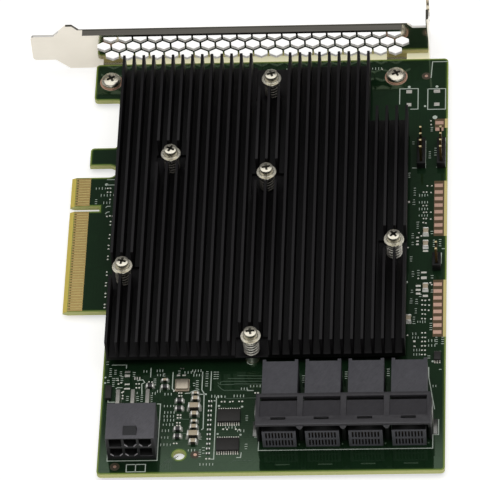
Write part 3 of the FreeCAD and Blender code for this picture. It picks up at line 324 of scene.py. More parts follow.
def add_line(shape, points, width, low_z, high_z):
    """A printed or etched line through points, of one width, with mitred corners."""
    spots = [Vector(point) for point in points]
    ways = [(after - before).normalized() for before, after in zip(spots, spots[1:])]
    rings = []
    for spot, before, after in zip(spots, ways[:1] + ways, ways + ways[-1:]):
        along = (before + after).normalized()
        side = Vector((-along.y, along.x))
        reach = side * (width / 2 / max(0.4, side.dot(Vector((-before.y, before.x)))))
        left, right = spot + reach, spot - reach
        rings.append([shape.verts.new((corner.x, corner.y, z)) for corner, z in (
            (left, low_z), (right, low_z), (right, high_z), (left, high_z))])
    bridge(shape, rings)


def turned_rims(shape, x, y, profile, steps):
    """Circles of vertices about an upright axis, from pairs of radius and height."""
    turns = [2 * math.pi * step / steps for step in range(steps)]
    return [[shape.verts.new((x + radius * math.cos(turn), y + radius * math.sin(turn), z))
             for turn in (turns if radius else turns[:1])] for radius, z in profile]


def add_ring(shape, x, y, low_z, high_z, outer, inner=0.0, steps=20):
    """A flat washer or, with no hole, a disc."""
    rims = turned_rims(shape, x, y, [(outer, low_z), (outer, high_z)], steps)
    if inner:
        rims += turned_rims(shape, x, y, [(inner, high_z), (inner, low_z)], steps) + rims[:1]
    bridge(shape, rims, capped=not inner)


solder_mask = finish("solder_mask", board_look)
repaint("circuit_board", solder_mask)

# Bare rim: the mask thins out near the routed outline and the tooling hole, on both faces, and
# stops 0.42 mm short of them, so an olive line of laminate follows the card's edge.
RIM_WIDTH = 0.42
RIM_LIFT = 0.006
THIN_WIDTH = 0.85
THIN_LIFT = 0.003
OUTLINE_LENGTH = 100
TOOLING_HOLE = Vector((36.1, -91.9))
WELD_DISTANCE = 0.001


def band(name, dark, pale, spread, gloss, bare_gloss, dent, level, tint):
    """Laminate through little or no mask. Beside the test pads the band shows bare glass."""
    def look(place, facing):
        fibre = place.stretched(2.5, 2.5, 1.0).noise(1.4, 3.0)
        rows = open_rows(place, facing) * (place.x > BARE_STRIP_X)
        return {"Base Color": rows.blend(fibre.blend(dark, pale), bare_glass(fibre)),
                "Roughness": fibre * spread + gloss + rows * bare_gloss,
                "Normal": fibre.bump(dent, 20),
                "Specular IOR Level": level, "Specular Tint": tint}
    return finish(name, look)


def boundary_loops(shape):
    """The open edges of a sheet of faces, walked into closed loops of vertices."""
    left = {edge for edge in shape.edges if edge.is_boundary}
    while left:
        loop = list(left.pop().verts)
        while loop[-1] is not loop[0]:
            following = next(near for near in loop[-1].link_edges if near in left)
            left.discard(following)
            loop.append(following.other_vert(loop[-1]))
        yield loop[:-1]


def add_rim(name, side, width, lift, material):
    """A thin band round one face of the board: side is 1 for the top and -1 for the back."""
    shape = bmesh.new()
    shape.from_mesh(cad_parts["circuit_board"].data)
    bmesh.ops.scale(shape, vec=(1000, 1000, 1000), verts=shape.verts)
    bmesh.ops.remove_doubles(shape, verts=shape.verts, dist=WELD_DISTANCE)
    level = MASK_TOP if side > 0 else 0.0
    other_faces = [face for face in shape.faces
                   if face.normal.z * side < 0.99 or abs(face.calc_center_median().z - level) > 0.01]
    bmesh.ops.delete(shape, geom=other_faces, context="FACES")
    for loop in list(boundary_loops(shape)):
        around = sum((start.co - end.co).length for start, end in zip(loop, loop[1:] + loop[:1]))
        middle = sum((vertex.co.xy for vertex in loop), Vector((0, 0))) / len(loop)
        if around < OUTLINE_LENGTH and (middle - TOOLING_HOLE).length > 1:
            shape.faces.new(loop)
    shape.normal_update()
    for face in shape.faces:
        if face.normal.z * side < 0:
            face.normal_flip()
    kept = set(bmesh.ops.inset_region(shape, faces=list(shape.faces), thickness=width,
                                      use_boundary=True, use_even_offset=True)["faces"])
    bmesh.ops.delete(shape, geom=[face for face in shape.faces if face not in kept], context="FACES")
    raised = bmesh.ops.extrude_face_region(shape, geom=list(shape.faces))
    moved = [part for part in raised["geom"] if isinstance(part, bmesh.types.BMVert)]
    bmesh.ops.translate(shape, verts=moved, vec=(0, 0, side * lift))
    add_piece(name, shape, material)


bare_rim = band(
    "bare_rim", (0.16, 0.23, 0.028), (0.26, 0.34, 0.06), 0.2, 0.45, 0.0, 0.2, 0.5, (1.0, 1.0, 1.0))
thin_mask = band(
    "thin_mask", (0.016, 0.042, 0.008), (0.026, 0.06, 0.012), 0.05, 0.06, 0.4, 0.05, 0.6,
    (0.7, 1.0, 0.68))
for name, width, lift, material in (("bare_rim", RIM_WIDTH, RIM_LIFT, bare_rim),
                                    ("thin_mask", THIN_WIDTH, THIN_LIFT, thin_mask)):
    add_rim(f"{name}_top", 1, width, lift, material)
    add_rim(f"{name}_back", -1, width, lift, material)


# Tracks: copper runs etched on the board's face, which lift the mask over them by a hair. A bundle
# of them leaves the heatsink's shadow and passes under the drive ports.
def track_look(place, facing):
    grain = place.noise(1.2, 2.0)
    return {"Base Color": grain.blend((0.04, 0.075, 0.045), (0.06, 0.1, 0.062)),
            "Roughness": grain * 0.1 + 0.3, "Normal": place.noise(5.0).bump(0.1, 20)}


BED_Z = MASK_TOP - 0.005
TRACK_TOP = MASK_TOP + 0.02
TRACK_WIDTH = 0.22
masked_track = finish("masked_track", track_look)
tracks = bmesh.new()
for points in [
        [(51.7, -63.6), (59.0, -63.8)], [(49.0, -64.6), (59.1, -64.8)],
        [(46.9, -66.6), (46.9, -65.9), (47.7, -65.6), (59.0, -65.8)],
        [(46.2, -66.0), (46.4, -66.5), (47.2, -66.8), (50.5, -66.8), (51.3, -66.6), (58.6, -66.8)],
        [(46.2, -67.0), (47.2, -68.3), (48.0, -68.9), (54.6, -69.0)],
        [(48.5, -71.8), (51.5, -71.9), (59.0, -71.7)], [(34.6, -79.1), (38.4, -79.2)],
        [(34.4, -84.2), (38.0, -84.3)], [(50.9, -95.0), (51.6, -94.2), (57.0, -94.2)]] + [
        [(31.0 + 0.75 * step, -97.2), (31.0 + 0.75 * step, -95.6 + 0.3 * step),
         (33.0 + 0.75 * step, -93.4 + 0.3 * step)] for step in range(5)]:
    add_line(tracks, points, TRACK_WIDTH, BED_Z, TRACK_TOP)
add_piece("mask_tracks", tracks, masked_track)


# Component legend: pale epoxy ink screened on the mask. It frames the connectors, the logic chips
# and the open places, with a dot at each first pin. It spells nothing.
def grained(name, dark, pale, spread, gloss, dent, microns, metal=1.0, grain=(4.0, 3.0),
            stretch=None, level=0.5):
    """A finish with one fine grain in its colour, its gloss and its dents."""
    def look(place, facing):
        speck = (place.stretched(*stretch) if stretch else place).noise(*grain)
        return {"Base Color": speck.blend(dark, pale), "Metallic": metal,
                "Roughness": speck * spread + gloss, "Specular IOR Level": level,
                "Normal": speck.bump(dent, microns)}
    return finish(name, look)


INK_HIGH = MASK_TOP + 0.018
INK_WIDTH = 0.26
TICK_WIDTH = 0.2
legend = bmesh.new()
OUTLINES = [
    [(15.8, -91.2), (15.8, -93.75), (30, -93.75), (30.1, -73.5), (29.1, -73.5)],
    [(57.3, -84), (57.3, -85.9), (58.5, -85.9), (58.5, -90.7), (107.7, -90.7), (107.7, -85.9),
     (109.3, -85.9), (109.3, -80.4)],
    [(106.3, -61.5), (106.35, -65.2), (107, -69.4), (108.1, -76.8)],
    [(45.2, -72.6), (46, -72.7), (46, -93.6), (45, -93.5)],
    [(46, -72.7), (46, -71.2)],
    [(96.7, 39), (96.7, 45.2), (102.2, 45.2), (102.2, 37), (99.9, 37)],
    [(105.1, 45), (110.4, 45), (110.4, 36.8), (105.1, 36.8), (105.1, 45)],
    [(104.65, 24.4), (104.65, 13.8), (100.7, 13.8)],
    [(110.5, 25.5), (110.5, 14), (107.8, 14)],
    [(109.6, -19), (109.6, -23.1)], [(109.7, -17.5), (110.6, -17.5)],
    [(15.4, -59.1), (19.7, -59.1), (19.7, -60.4)], [(26.8, -60.3), (26.8, -63.8)],
    [(24.4, -66.3), (24.6, -70)], [(17, -67.8), (17.4, -67.4), (18.9, -67.4)],
    [(36.9, -69.8), (38.1, -69.7), (39.4, -68.9), (40.9, -68.5)],
    [(41.7, -62), (41.7, -68.6), (42.4, -69.9), (42.6, -82.6), (42.1, -83)],
    [(41.2, -70.2), (42.5, -70.2)], [(44.2, -61.9), (44.2, -69)],
    [(54.8, -68.6), (54.8, -69.1), (56.5, -69.1)], [(53.7, -91.3), (53.6, -93.1), (52.4, -93.1)],
    [(21.4, -95.1), (26.8, -95.1), (26.8, -97.7), (21.4, -97.7), (21.4, -95.1)],
    [(24, -95.1), (24, -97.7)], [(23, -64.9), (24.6, -64.6), (25.2, -65.6), (24.3, -66.2)],
    [(33.2, -62), (33.2, -68), (34, -68.8), (37, -68.8), (38.2, -67.4)],
    [(111, 55.9), (106.4, 55.9), (106, 49.4)],
    [(10.4, 11.3), (13.2, 11.3), (13.2, 9.2), (10.5, 9.2)],
    [(10.6, 0.4), (11, 0.9), (12, 0.9)], [(10.6, -2), (11, -1.4), (11.8, -1.2)],
    [(15, -75.6), (15, -79.2)], [(15, -69), (15, -72.6), (17, -72.6)],
    [(54.2, -58.6), (54.6, -59.2), (55.3, -59.6), (56, -59.5)],
]
for points in OUTLINES:
    add_line(legend, points, INK_WIDTH, BED_Z, INK_HIGH)
FIRST_PIN_DOTS = (
    (99.5, 45.9, 0.45), (107.8, 45.9, 0.45), (107.3, 33.6, 0.72), (104.3, 38.1, 0.35),
    (46.8, -74.5, 0.35), (53.4, -74.9, 0.35), (46.8, -84.6, 0.3), (53.3, -85.0, 0.35),
    (10.4, 9.4, 0.5), (107.4, -59.4, 0.35), (13.8, -63.6, 0.3), (13.8, -65.6, 0.3),
    (99.6, -29.9, 0.45), (42.9, -70.2, 0.3), (38.2, -69.7, 0.25))
for x, y, radius in FIRST_PIN_DOTS:
    add_ring(legend, x, y, BED_Z, INK_HIGH, radius, steps=14)
# Where the real board names each part in letters, this one has short plain ticks. Each group has
# a place, a count and a step in tenths of a millimetre, to the right or, below zero, down.
TICK_GROUPS = (
    (16.6, -61, 3, -7), (18.2, -61.6, 3, -7), (17.2, -64, 2, -7), (31.2, -70, 3, 9),
    (31.2, -74.3, 4, 9), (31.4, -79.4, 4, 9), (30.9, -85.6, 3, 9), (30.8, -88.2, 4, 9),
    (36.6, -62.2, 4, 9), (39.4, -66.2, 2, -8), (44.6, -71, 4, 9), (51, -71, 4, 9),
    (53, -68.4, 3, 8), (55.6, -67.5, 4, 9), (57.4, -70.8, 2, 9), (42.2, -95.4, 5, 9),
    (43, -89.4, 3, -10), (38.7, -90.3, 3, 9), (54.9, -78.2, 3, -8), (55, -88.4, 3, -8),
    (49, -82.3, 4, 9), (101.6, 5.9, 4, -9), (101.4, 1.4, 3, -9), (103, 3.1, 4, 8),
    (103, 0.4, 4, 8), (103, -2.2, 4, 8), (103, -4.7, 4, 8), (102.6, -7.2, 4, -8),
    (101.2, -11.6, 3, -8), (101.2, -14.9, 2, -9), (106.8, -10.8, 2, -9), (107.4, -14.2, 4, -8),
    (109.2, -14, 4, -8), (101.4, -26, 3, -9), (103, -25.6, 3, -9), (107, -27.6, 2, -9),
    (107, -33, 2, -8), (101.2, -33, 2, -8), (102.6, -36.4, 3, -8), (102.4, -39.9, 3, -8),
    (101.9, -43, 4, -8), (103, -44.8, 4, 7), (106.8, -45.4, 4, -8), (101.6, -49.2, 2, 9),
    (101.6, -50.6, 3, 8), (106.2, -51.8, 3, 9), (106.2, -53.6, 3, 9), (102, -55.2, 3, 8),
    (102, -56.8, 3, 8), (106.3, -57.4, 2, -8), (108.4, -50.6, 4, -8), (110.2, -50.6, 4, -8),
    (106.4, 29.6, 3, -7), (107.6, 21.4, 4, -9), (7.4, 7.9, 4, 9), (9, 5.2, 4, 9), (9.9, 2.3, 3, 9),
    (7.6, 3.6, 3, -8), (70.6, -71, 3, -8), (82.9, -70.6, 3, -8), (95.2, -70.4, 3, -8),
    (107.6, -68.4, 2, 8), (14.2, -57, 3, -9), (58.2, 52.6, 3, 11), (62.6, 54, 2, 10),
    (70.4, 53.2, 4, 9), (78.2, 54.2, 3, 10), (88.4, 53.6, 4, 9), (30.4, 53.6, 3, 10),
    (40.2, 54.2, 4, 9), (18.6, -63.4, 4, -7), (22, -61.9, 3, -7), (24.8, -61.6, 2, 8),
    (28.6, -61.4, 3, 8), (28.8, -63, 3, 8), (30.6, -62.6, 2, -8), (35, -61.6, 2, -8),
    (38.8, -61.6, 4, 8), (39.2, -63.2, 4, 8), (43, -62, 4, -8), (43, -65.6, 3, -8),
    (45.2, -62.2, 4, -8), (46, -62.2, 4, -8), (26, -69.6, 4, 8), (21.6, -69.4, 3, 8),
    (31.4, -76.6, 4, 9), (31.3, -78, 4, 9), (31.2, -81, 4, 9), (31, -83.2, 3, 9),
    (42, -90.2, 4, -8), (41.9, -85.6, 2, -8), (70.6, -64, 4, -8), (82.8, -62.8, 4, -8),
    (94.8, -62, 4, -8), (46.6, -71.2, 3, 9), (52.4, -83.6, 3, 9), (99.9, 11.8, 3, -8),
    (101, 24, 2, -8), (105.9, 20, 4, -8), (109.6, -62.4, 1, -8), (104, -60.6, 2, 8),
    (100.8, -20.4, 3, -8), (101, -36.2, 3, -8), (103.6, -34.6, 2, -8), (15.2, -60.4, 5, -7),
    (16.2, -64, 5, -7), (20.5, -70.6, 3, -7), (23.4, -70.7, 3, -7), (24.6, -70.4, 4, -7),
    (27.4, -70.4, 4, -7), (40.3, -65.2, 5, -7), (28.1, -64.4, 4, -7), (14.7, -64.7, 2, -7),
    (29, -68.9, 2, 8))
random.seed(4)
for x, y, count, tenths in TICK_GROUPS:
    step = tenths / 10
    for index in range(count):
        spot = Vector((x + index * max(step, 0), y + index * min(step, 0)))
        half = random.uniform(0.28, 0.42)
        half = Vector((half, 0)) if step < 0 else Vector((0, half * 1.2))
        add_line(legend, [spot - half, spot + half], TICK_WIDTH, BED_Z, INK_HIGH)
ink = grained(
    "legend_ink", (0.4, 0.46, 0.4), (0.6, 0.66, 0.58), 0.2, 0.5, 0.2, 20, 0.0, (6.0, 3.0, 0.7))
add_piece("legend_ink", legend, ink)


# Bare metal on the board: tinned pads with no part on them, plated rings round the holes, and the
# three round targets that an assembly machine looks for.
PAD_HIGH = MASK_TOP + 0.03
PROBE_RADIUS = 0.27
FEET_X = (9.75, 95.55)
FOOT_Y = 50.1
TARGETS = ((18.1, -95.8), (40.7, -91.9), (104.6, 50.2))
tin = grained("bright_tin", (0.62, 0.6, 0.54), (0.82, 0.8, 0.74), 0.2, 0.25, 0.3, 30)
copper = grained(
    "bare_copper", (0.56, 0.34, 0.25), (0.79, 0.53, 0.42), 0.2, 0.3, 0.2, 20, 0.85, (3.0, 3.0))
laminate = grained(
    "bare_laminate", (0.03, 0.022, 0.01), (0.06, 0.046, 0.022), 0.2, 0.4, 0.2, 20, 0.0, (2.0, 3.0))
repaint("test_pads", copper)
pads = bmesh.new()
# Pads of chip components that aren't fitted, each with its width and depth.
PAD_BARS = (
    (99.5, 44, 1.7, 1.3), (99.5, 38.8, 1.4, 1.3), (107.8, 44, 1.9, 1.3), (107.8, 38.8, 1.6, 1.3),
    (20.1, -61.7, 1.5, 0.8), (20.1, -63.1, 1.5, 0.9), (20.2, -66.2, 1.4, 0.5),
    (20.2, -67.8, 1.6, 0.5), (22.3, -64.1, 0.35, 1), (23, -64.1, 0.35, 1), (23.7, -64.1, 0.35, 1),
    (34.8, -63.2, 1, 0.5), (36.4, -63.2, 1, 0.5), (104.6, -26.4, 1.6, 0.6), (104.6, -28.4, 1.6, 1),
    (103, -31.4, 1.4, 0.7), (103, -32.9, 1.4, 0.7), (103, -34.3, 1.3, 0.7),
    (105.1, -35.2, 1.5, 0.8), (102.6, -13.1, 0.8, 0.5), (102.6, -14.5, 0.8, 0.5),
    (102.6, -15.7, 0.8, 0.6), (99.9, 0.6, 0.7, 0.8), (102.1, -52, 0.7, 0.6),
    (102.2, -53.8, 0.6, 0.4), (58.2, 49, 1.4, 0.7), (105, -18.3, 1.5, 0.6))
for x, y, width, depth in PAD_BARS:
    add_block(pads, x, y, width, depth, BED_Z, PAD_HIGH)
# Round pads: a column beside the heatsink, then rows, each a place along Y before its places
# along X.
PAD_DOTS = [(12.2, y) for y in (
    -11.5, -14.2, -15.5, -18.3, -19.5, -24.3, -25.5, -28.4, -32.4, -33.7, -36.5, -37.7)]
PAD_DOTS += [(x, y) for y, *row in (
    (7.9, 10.8, 11.6), (6.4, 10.8, 11.7), (5.2, 12.8), (3.6, 11.7), (-3, 11.1), (-2.8, 12),
    (-2.9, 12.8), (-5, 12.3), (-6.3, 12.3), (-10.1, 12.3), (-29.5, 12.1), (32.2, 106.1),
    (30.7, 106.2), (6.7, 105.3, 106.6), (4.3, 104.2, 105.1), (4.1, 106.4), (-0.9, 104.2, 105.1),
    (-3.5, 104.3, 105.1, 106.4), (-5.9, 104.3, 105.1), (-6.1, 106.4), (-7.4, 104.2), (-7.6, 105),
    (-11.3, 103), (-12.5, 103.7), (-16.9, 99.9), (-28.6, 103), (-30.3, 106.5), (-31, 106.9),
    (-36.8, 104.2), (-36.9, 105.1), (-36.7, 106.2), (-38.5, 104.2), (-38.6, 105.1), (-38.7, 106.2),
    (-40.4, 104.2, 105.1), (-40.6, 106.1), (-41.9, 104.3), (-42, 105.1), (-43.8, 106.8),
    (-43.6, 104.2), (-43.7, 105.1), (-49.7, 100.1), (-48.9, 104.3, 105.2), (-50.6, 104.4, 105.2),
    (-52.1, 104.3, 105.2), (-53.7, 104.3, 105.2), (-55.3, 104.3, 105.2), (-56.9, 104.3, 105.2),
    (-64.7, 17.5), (-66, 17.7), (-65.6, 18.4), (-69.2, 18.9), (-68.9, 19.2), (-70.3, 19.1),
    (-71.3, 19.1), (-66.1, 22.8, 23.6), (-67.5, 22.9, 23.7), (-65.4, 26.4), (-65.5, 27.3),
    (-60.7, 35.4, 36.1), (-68.9, 33.7), (-69, 34.6), (-69.6, 35.2, 35.9), (-70.7, 35.3, 36),
    (-73, 47.5, 48.4), (-73.1, 49.9), (-73, 50.7, 52.5, 53.4), (-70, 57, 57.8), (-77.6, 35.2, 36),
    (-78.6, 35.2, 36), (-80.4, 35.1, 35.9), (-81.4, 35.1, 35.9), (-87.8, 34.5, 35.3),
    (-82.9, 48.3), (-83, 49.4, 51.9), (-83.2, 52.9), (52.8, 62.3), (52.6, 66.5), (52.9, 70.2),
    (53.4, 86), (53.2, 91.3), (-93.4, 43.9, 44.75)) for x in row]
for x, y in PAD_DOTS:
    add_ring(pads, x, y, BED_Z, PAD_HIGH, PROBE_RADIUS, steps=12)
add_piece("open_pads", pads, tin)
rings = bmesh.new()
for x in FEET_X:
    add_ring(rings, x, FOOT_Y, BED_Z, MASK_TOP + 0.02, 3.4, 1.7, 40)
openings = bmesh.new()
for x, y in TARGETS:
    add_ring(rings, x, y, BED_Z, MASK_TOP + 0.02, 0.5)
    add_ring(openings, x, y, BED_Z, MASK_TOP + 0.008, 1.4, 0.52, 32)
add_piece("copper_rings", rings, copper)
add_piece("target_openings", openings, laminate)


# Edge contacts: copper strips under nickel and hard gold, polished by the die and by a few
# insertions, so their faces carry fine scratches along the way in.
def gold_look(place, facing):
    scratch = place.stretched(0.4, 9.0, 1.0).noise(1.5, 4.0)
    worn = place.noise(0.5, 2.0)
    return {"Base Color": (worn * 0.7 + scratch * 0.3).blend((0.5, 0.33, 0.11), (0.68, 0.49, 0.21)),
            "Metallic": 1.0, "Roughness": scratch * 0.22 + 0.2,
            "Normal": scratch.bump(0.15, 20)}


gold = finish("gold_plate", gold_look)
for node in ("edge_contacts_front", "edge_contacts_back"):
    repaint(node, gold)


# Mounting bracket: 0.86 mm steel sheet, punched with three rows of hexagons, folded, then nickel
# plated to a mirror with a faint roll grain along its length.
SHEET_OUT_Y = 59.03
SHEET_IN_Y = 59.93
DARK_LIP_Y = 58.8
TAIL_X = 7.0
HOLES_LOW_Z = 3.4
HOLES_HIGH_Z = 14.4
LIP_Z = 14.9


def bracket_look(place, facing):
    x, y, z = place.x, place.y, place.z
    out, up = facing.y, facing.z
    roll = place.stretched(0.15, 4.0, 4.0).noise(1.2, 3.0)
    cloud = place.noise(0.12, 2.0)
    sheet = (cloud * 0.6 + roll * 0.4).blend((0.66, 0.62, 0.54), (0.8, 0.76, 0.68))
    # Below the holes the plating is painted yellow: a painted reflection of the board's far edge.
    low = (z < HOLES_LOW_Z) * (out < -0.7) * (x > TAIL_X)
    sheet = low.blend(sheet, (0.9, 0.86, 0.6))
    # The punch leaves a paler and rougher face through the sheet's thickness.
    punched = (abs(out) < 0.7) * (y > SHEET_OUT_Y) * (y < SHEET_IN_Y) * (z < HOLES_HIGH_Z)
    # The folded lip is brushed; its outer third is painted darker, a painted reflection of the bend.
    scratch = place.stretched(0.05, 3.0, 1.0).noise(1.0, 3.0)
    lip = ((z > LIP_Z) * (up > 0.7)).blend(sheet, (scratch * 0.5 + (y < DARK_LIP_Y) * 0.5).blend(
        (0.26, 0.25, 0.2), (0.86, 0.81, 0.72)))
    return {"Base Color": punched.blend(lip, (0.93, 0.91, 0.86)), "Metallic": 1.0,
            "Roughness": roll * 0.08 + 0.07 + punched * 0.38, "Normal": roll.bump(0.05, 30)}


repaint("mounting_bracket", finish("bracket_nickel", bracket_look))


# Bracket screws: nickel plated pan heads with a cross recess, driven through the board into the
# bracket's tapped feet.
SPRING_LOW = 4.9
SHANK_TOP = 10.85
FLANGE_LOW = 10.9


def screw_look(place, facing):
    turned = place.noise(3.0, 3.0)
    z = place.z
    # The heatsink screws' shanks, inside the springs, are painted dark as shade.
    shank_shade = (z > SPRING_LOW) * (z < SHANK_TOP)
    plate = turned.blend((0.56, 0.53, 0.44), (0.76, 0.72, 0.61))
    return {"Base Color": shank_shade.blend(plate, (0.045, 0.04, 0.035)), "Metallic": 1.0,
            "Roughness": turned * 0.12 + 0.22, "Normal": turned.bump(0.08, 30)}


def add_turned(shape, x, y, profile, steps=40):
    """A closed solid turned about an upright axis from pairs of radius and height."""
    bridge(shape, turned_rims(shape, x, y, profile, steps), capped=False)


def cross_cutter(x, y, top, reach, width, depth, turn):
    """The point of a cross driver, tapered towards its tip."""
    shape = bmesh.new()
    for quarter in (0, 1):
        lows, highs = [], []
        for along, across in ((-1, -1), (1, -1), (1, 1), (-1, 1)):
            for row, z, scale in ((lows, top - depth, 0.45), (highs, top + 0.4, 1.12)):
                spot = Vector((along * reach * scale, across * width / 2 * (0.5 + scale / 2), 0))
                spot.rotate(Matrix.Rotation(turn + quarter * math.pi / 2, 3, "Z"))
                row.append(shape.verts.new((x + spot.x, y + spot.y, z + 0.003 * quarter)))
        bridge(shape, [lows, highs])
    return shape


def cut_away(piece, cutters):
    """Takes the cutters' solids out of a piece and smooths its turned faces."""
    tools = [solid(f"cutter_{index}", shape, shaded_recess) for index, shape in enumerate(cutters)]
    for tool in tools:
        change = piece.modifiers.new("cut", "BOOLEAN")
        change.operation = "DIFFERENCE"
        change.solver = "EXACT"
        change.material_mode = "TRANSFER"
        change.use_self = True
        change.object = tool
    bpy.context.view_layer.update()
    shown = piece.evaluated_get(bpy.context.evaluated_depsgraph_get())
    piece.data = bpy.data.meshes.new_from_object(shown)
    piece.modifiers.clear()
    for tool in tools:
        bpy.data.objects.remove(tool)
    round_look(piece, 35)


def round_look(piece, degrees):
    """Shades faces that meet at less than an angle as one smooth surface."""
    shape = bmesh.new()
    shape.from_mesh(piece.data)
    for face in shape.faces:
        face.smooth = True
    for edge in shape.edges:
        edge.smooth = len(edge.link_faces) == 2 and edge.calc_face_angle(0) < math.radians(degrees)
    shape.to_mesh(piece.data)
    shape.free()


HEAD_RISE = 1.9
HEAD_RADIUS = 2.86
HEAD_BRIM = MASK_TOP + 1.1
screw_nickel = finish("screw_nickel", screw_look)
shaded_recess = grained(
    "shaded_recess", (0.1, 0.095, 0.08), (0.2, 0.19, 0.16), 0.2, 0.35, 0.1, 30)
heads = bmesh.new()
recesses = []
for x in FEET_X:
    top = MASK_TOP + HEAD_RISE
    profile = [(0, -1.5), (1.2, -1.5), (1.45, -1.25), (1.45, MASK_TOP + 0.02),
               (2.8, MASK_TOP + 0.02), (2.93, MASK_TOP + 0.2), (2.95, MASK_TOP + 0.7),
               (HEAD_RADIUS, HEAD_BRIM)]
    profile += [(HEAD_RADIUS * math.cos(lift), HEAD_BRIM + 0.8 * math.sin(lift))
                for lift in (0.35, 0.65, 0.95, 1.2, 1.4)] + [(0, top)]
    add_turned(heads, x, FOOT_Y, profile)
    recesses.append(cross_cutter(x, FOOT_Y, top, 1.5, 0.75, 1.1, 0.5))
bracket_screws = add_piece("bracket_screw_heads", heads, screw_nickel,
                           ["bracket_screws"])
cut_away(bracket_screws, recesses)


# Heatsink: an aluminium extrusion with thirty fins, milled for its screws and dyed black. Draw
# lines run along the fins, and their top edges are painted a little paler as light from above.
FIN_TOPS_Z = 12.0


def anodised_look(place, facing):
    draw = place.stretched(6.0, 0.12, 6.0).noise(1.0, 4.0)
    dust = place.noise(0.25, 4.0, 0.6)
    crest = (facing.z > 0.5) * (place.z > FIN_TOPS_Z)
    dye = (draw * 0.6 + dust * 0.4).blend((0.0025, 0.002, 0.0025), (0.007, 0.006, 0.007))
    # The fins' tops are painted paler: painted light from the box overhead.
    painted_crest_light = (draw * 0.5 + dust * 0.5).blend((0.006, 0.005, 0.006), (0.013, 0.012, 0.013))
    return {"Base Color": crest.blend(dye, painted_crest_light),
            "Roughness": draw * 0.12 + 0.42 + dust * 0.06,
            "Specular IOR Level": 0.2, "Normal": draw.bump(0.25, 30)}


def softened(node, material, width, levels=2):
    """A copy of a CAD node whose sharp edges are broken, as a die or a cutter leaves them."""
    shape = bmesh.new()
    shape.from_mesh(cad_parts[node].data)
    bmesh.ops.remove_doubles(shape, verts=shape.verts, dist=1e-6)
    bmesh.ops.dissolve_limit(shape, angle_limit=math.radians(1.0), verts=shape.verts,
                             edges=shape.edges)
    sharp = [edge for edge in shape.edges
             if len(edge.link_faces) == 2 and edge.calc_face_angle(0) > math.radians(28)]
    bmesh.ops.bevel(shape, geom=sharp, offset=width / 1000, segments=levels, profile=0.5,
                    affect="EDGES", clamp_overlap=True)
    bmesh.ops.scale(shape, vec=(1000, 1000, 1000), verts=shape.verts)
    round_look(add_piece(f"{node}_cast", shape, material, [node]), 40)


softened("heatsink", finish("black_anodised", anodised_look), 0.07)


# Heatsink screws, springs and standoffs: each nickel plated shoulder screw squeezes a coil of wire
# under its flange, and ends in a tinned standoff from the back of the board.
def wire_look(place, facing):
    drawn = place.noise(5.0, 3.0)
    # Springs among the fins are painted dark as shade; the front one and the right one are not.
    painted_fin_shade = (place.y > -50) * (place.x < 90)
    unshaded_wire = drawn.blend((0.78, 0.74, 0.65), (0.95, 0.91, 0.82))
    return {"Base Color": painted_fin_shade.blend(unshaded_wire, (0.2, 0.185, 0.16)), "Metallic": 0.75,
            "Roughness": drawn * 0.15 + 0.24, "Normal": drawn.bump(0.08, 30)}


SINK_SCREWS = ((58.9, 41.5, 0.3), (30.05, 12.6, 1.1), (58.5, 4.8, 0.2), (96.2, -21.7, 0.7),
               (17.85, -30.2, 1.3), (55.85, -57.0, 0.1))
FLANGE_HIGH = 11.4
SINK_HEAD_RADIUS = 1.98
SINK_HEAD_TOP = 13.75
SINK_HEAD_EDGE = SINK_HEAD_TOP - 0.35
SPRING_RADIUS = 2.08
WIRE_RADIUS = 0.27
SPRING_TURNS = 6.25
TURN_STEPS = 20
WIRE_STEPS = 8
heads = bmesh.new()
recesses = []
coils = bmesh.new()
for x, y, turn in SINK_SCREWS:
    profile = [(0, 0.6), (1.0, 0.6), (1.25, 0.9), (1.25, FLANGE_LOW), (2.88, FLANGE_LOW),
               (3.0, FLANGE_LOW + 0.14), (3.0, FLANGE_HIGH - 0.2), (2.86, FLANGE_HIGH),
               (2.15, FLANGE_HIGH + 0.03), (SINK_HEAD_RADIUS, FLANGE_HIGH + 0.16),
               (SINK_HEAD_RADIUS, SINK_HEAD_EDGE)]
    profile += [(SINK_HEAD_RADIUS * math.cos(lift), SINK_HEAD_EDGE + 0.35 * math.sin(lift))
                for lift in (0.3, 0.6, 0.9, 1.15, 1.35)] + [(0, SINK_HEAD_TOP)]
    add_turned(heads, x, y, profile)
    recesses.append(cross_cutter(x, y, SINK_HEAD_TOP, 1.35, 0.72, 1.3, turn))
    steps = int(SPRING_TURNS * TURN_STEPS)
    wire = []
    for step in range(steps + 1):
        share = step / steps
        # The end turns lie flat, and the turns between them climb evenly.
        climb = min(max((share * SPRING_TURNS - 0.7) / (SPRING_TURNS - 1.4), 0), 1)
        lift = share * 1.6 * WIRE_RADIUS + climb * (FLANGE_LOW - SPRING_LOW - 3.6 * WIRE_RADIUS)
        angle = turn + 2 * math.pi * step / TURN_STEPS
        out = Vector((math.cos(angle), math.sin(angle), 0))
        centre = Vector((x, y, SPRING_LOW + WIRE_RADIUS + lift)) + out * SPRING_RADIUS
        wire.append([coils.verts.new(
            centre + (out * math.cos(side) + Vector((0, 0, math.sin(side)))) * WIRE_RADIUS)
            for side in [2 * math.pi * part / WIRE_STEPS for part in range(WIRE_STEPS)]])
    bridge(coils, wire)
sink_screws = add_piece("heatsink_screw_heads", heads, screw_nickel,
                        ["heatsink_screws"])
cut_away(sink_screws, recesses)
springs = add_piece("heatsink_spring_coils", coils, finish("spring_wire", wire_look),
                    ["heatsink_springs"])
round_look(springs, 60)
softened("heatsink_standoffs", tin, 0.08)


# Packages under the heatsink: a green laminate carrier with a nickel plated lid, and a grey pad of
# soft filler between the lid and the heatsink.
LID_Z = MASK_TOP + 1.1


def package_look(place, facing):
    lid = place.z > LID_Z
    grain = place.noise(3.0, 3.0)
    plate = grain.blend((0.42, 0.42, 0.41), (0.56, 0.56, 0.54))
    return {"Base Color": lid.blend((0.02, 0.09, 0.04), plate), "Metallic": lid,
            "Roughness": grain * 0.15 + 0.4, "Normal": grain.bump(0.1, 30)}


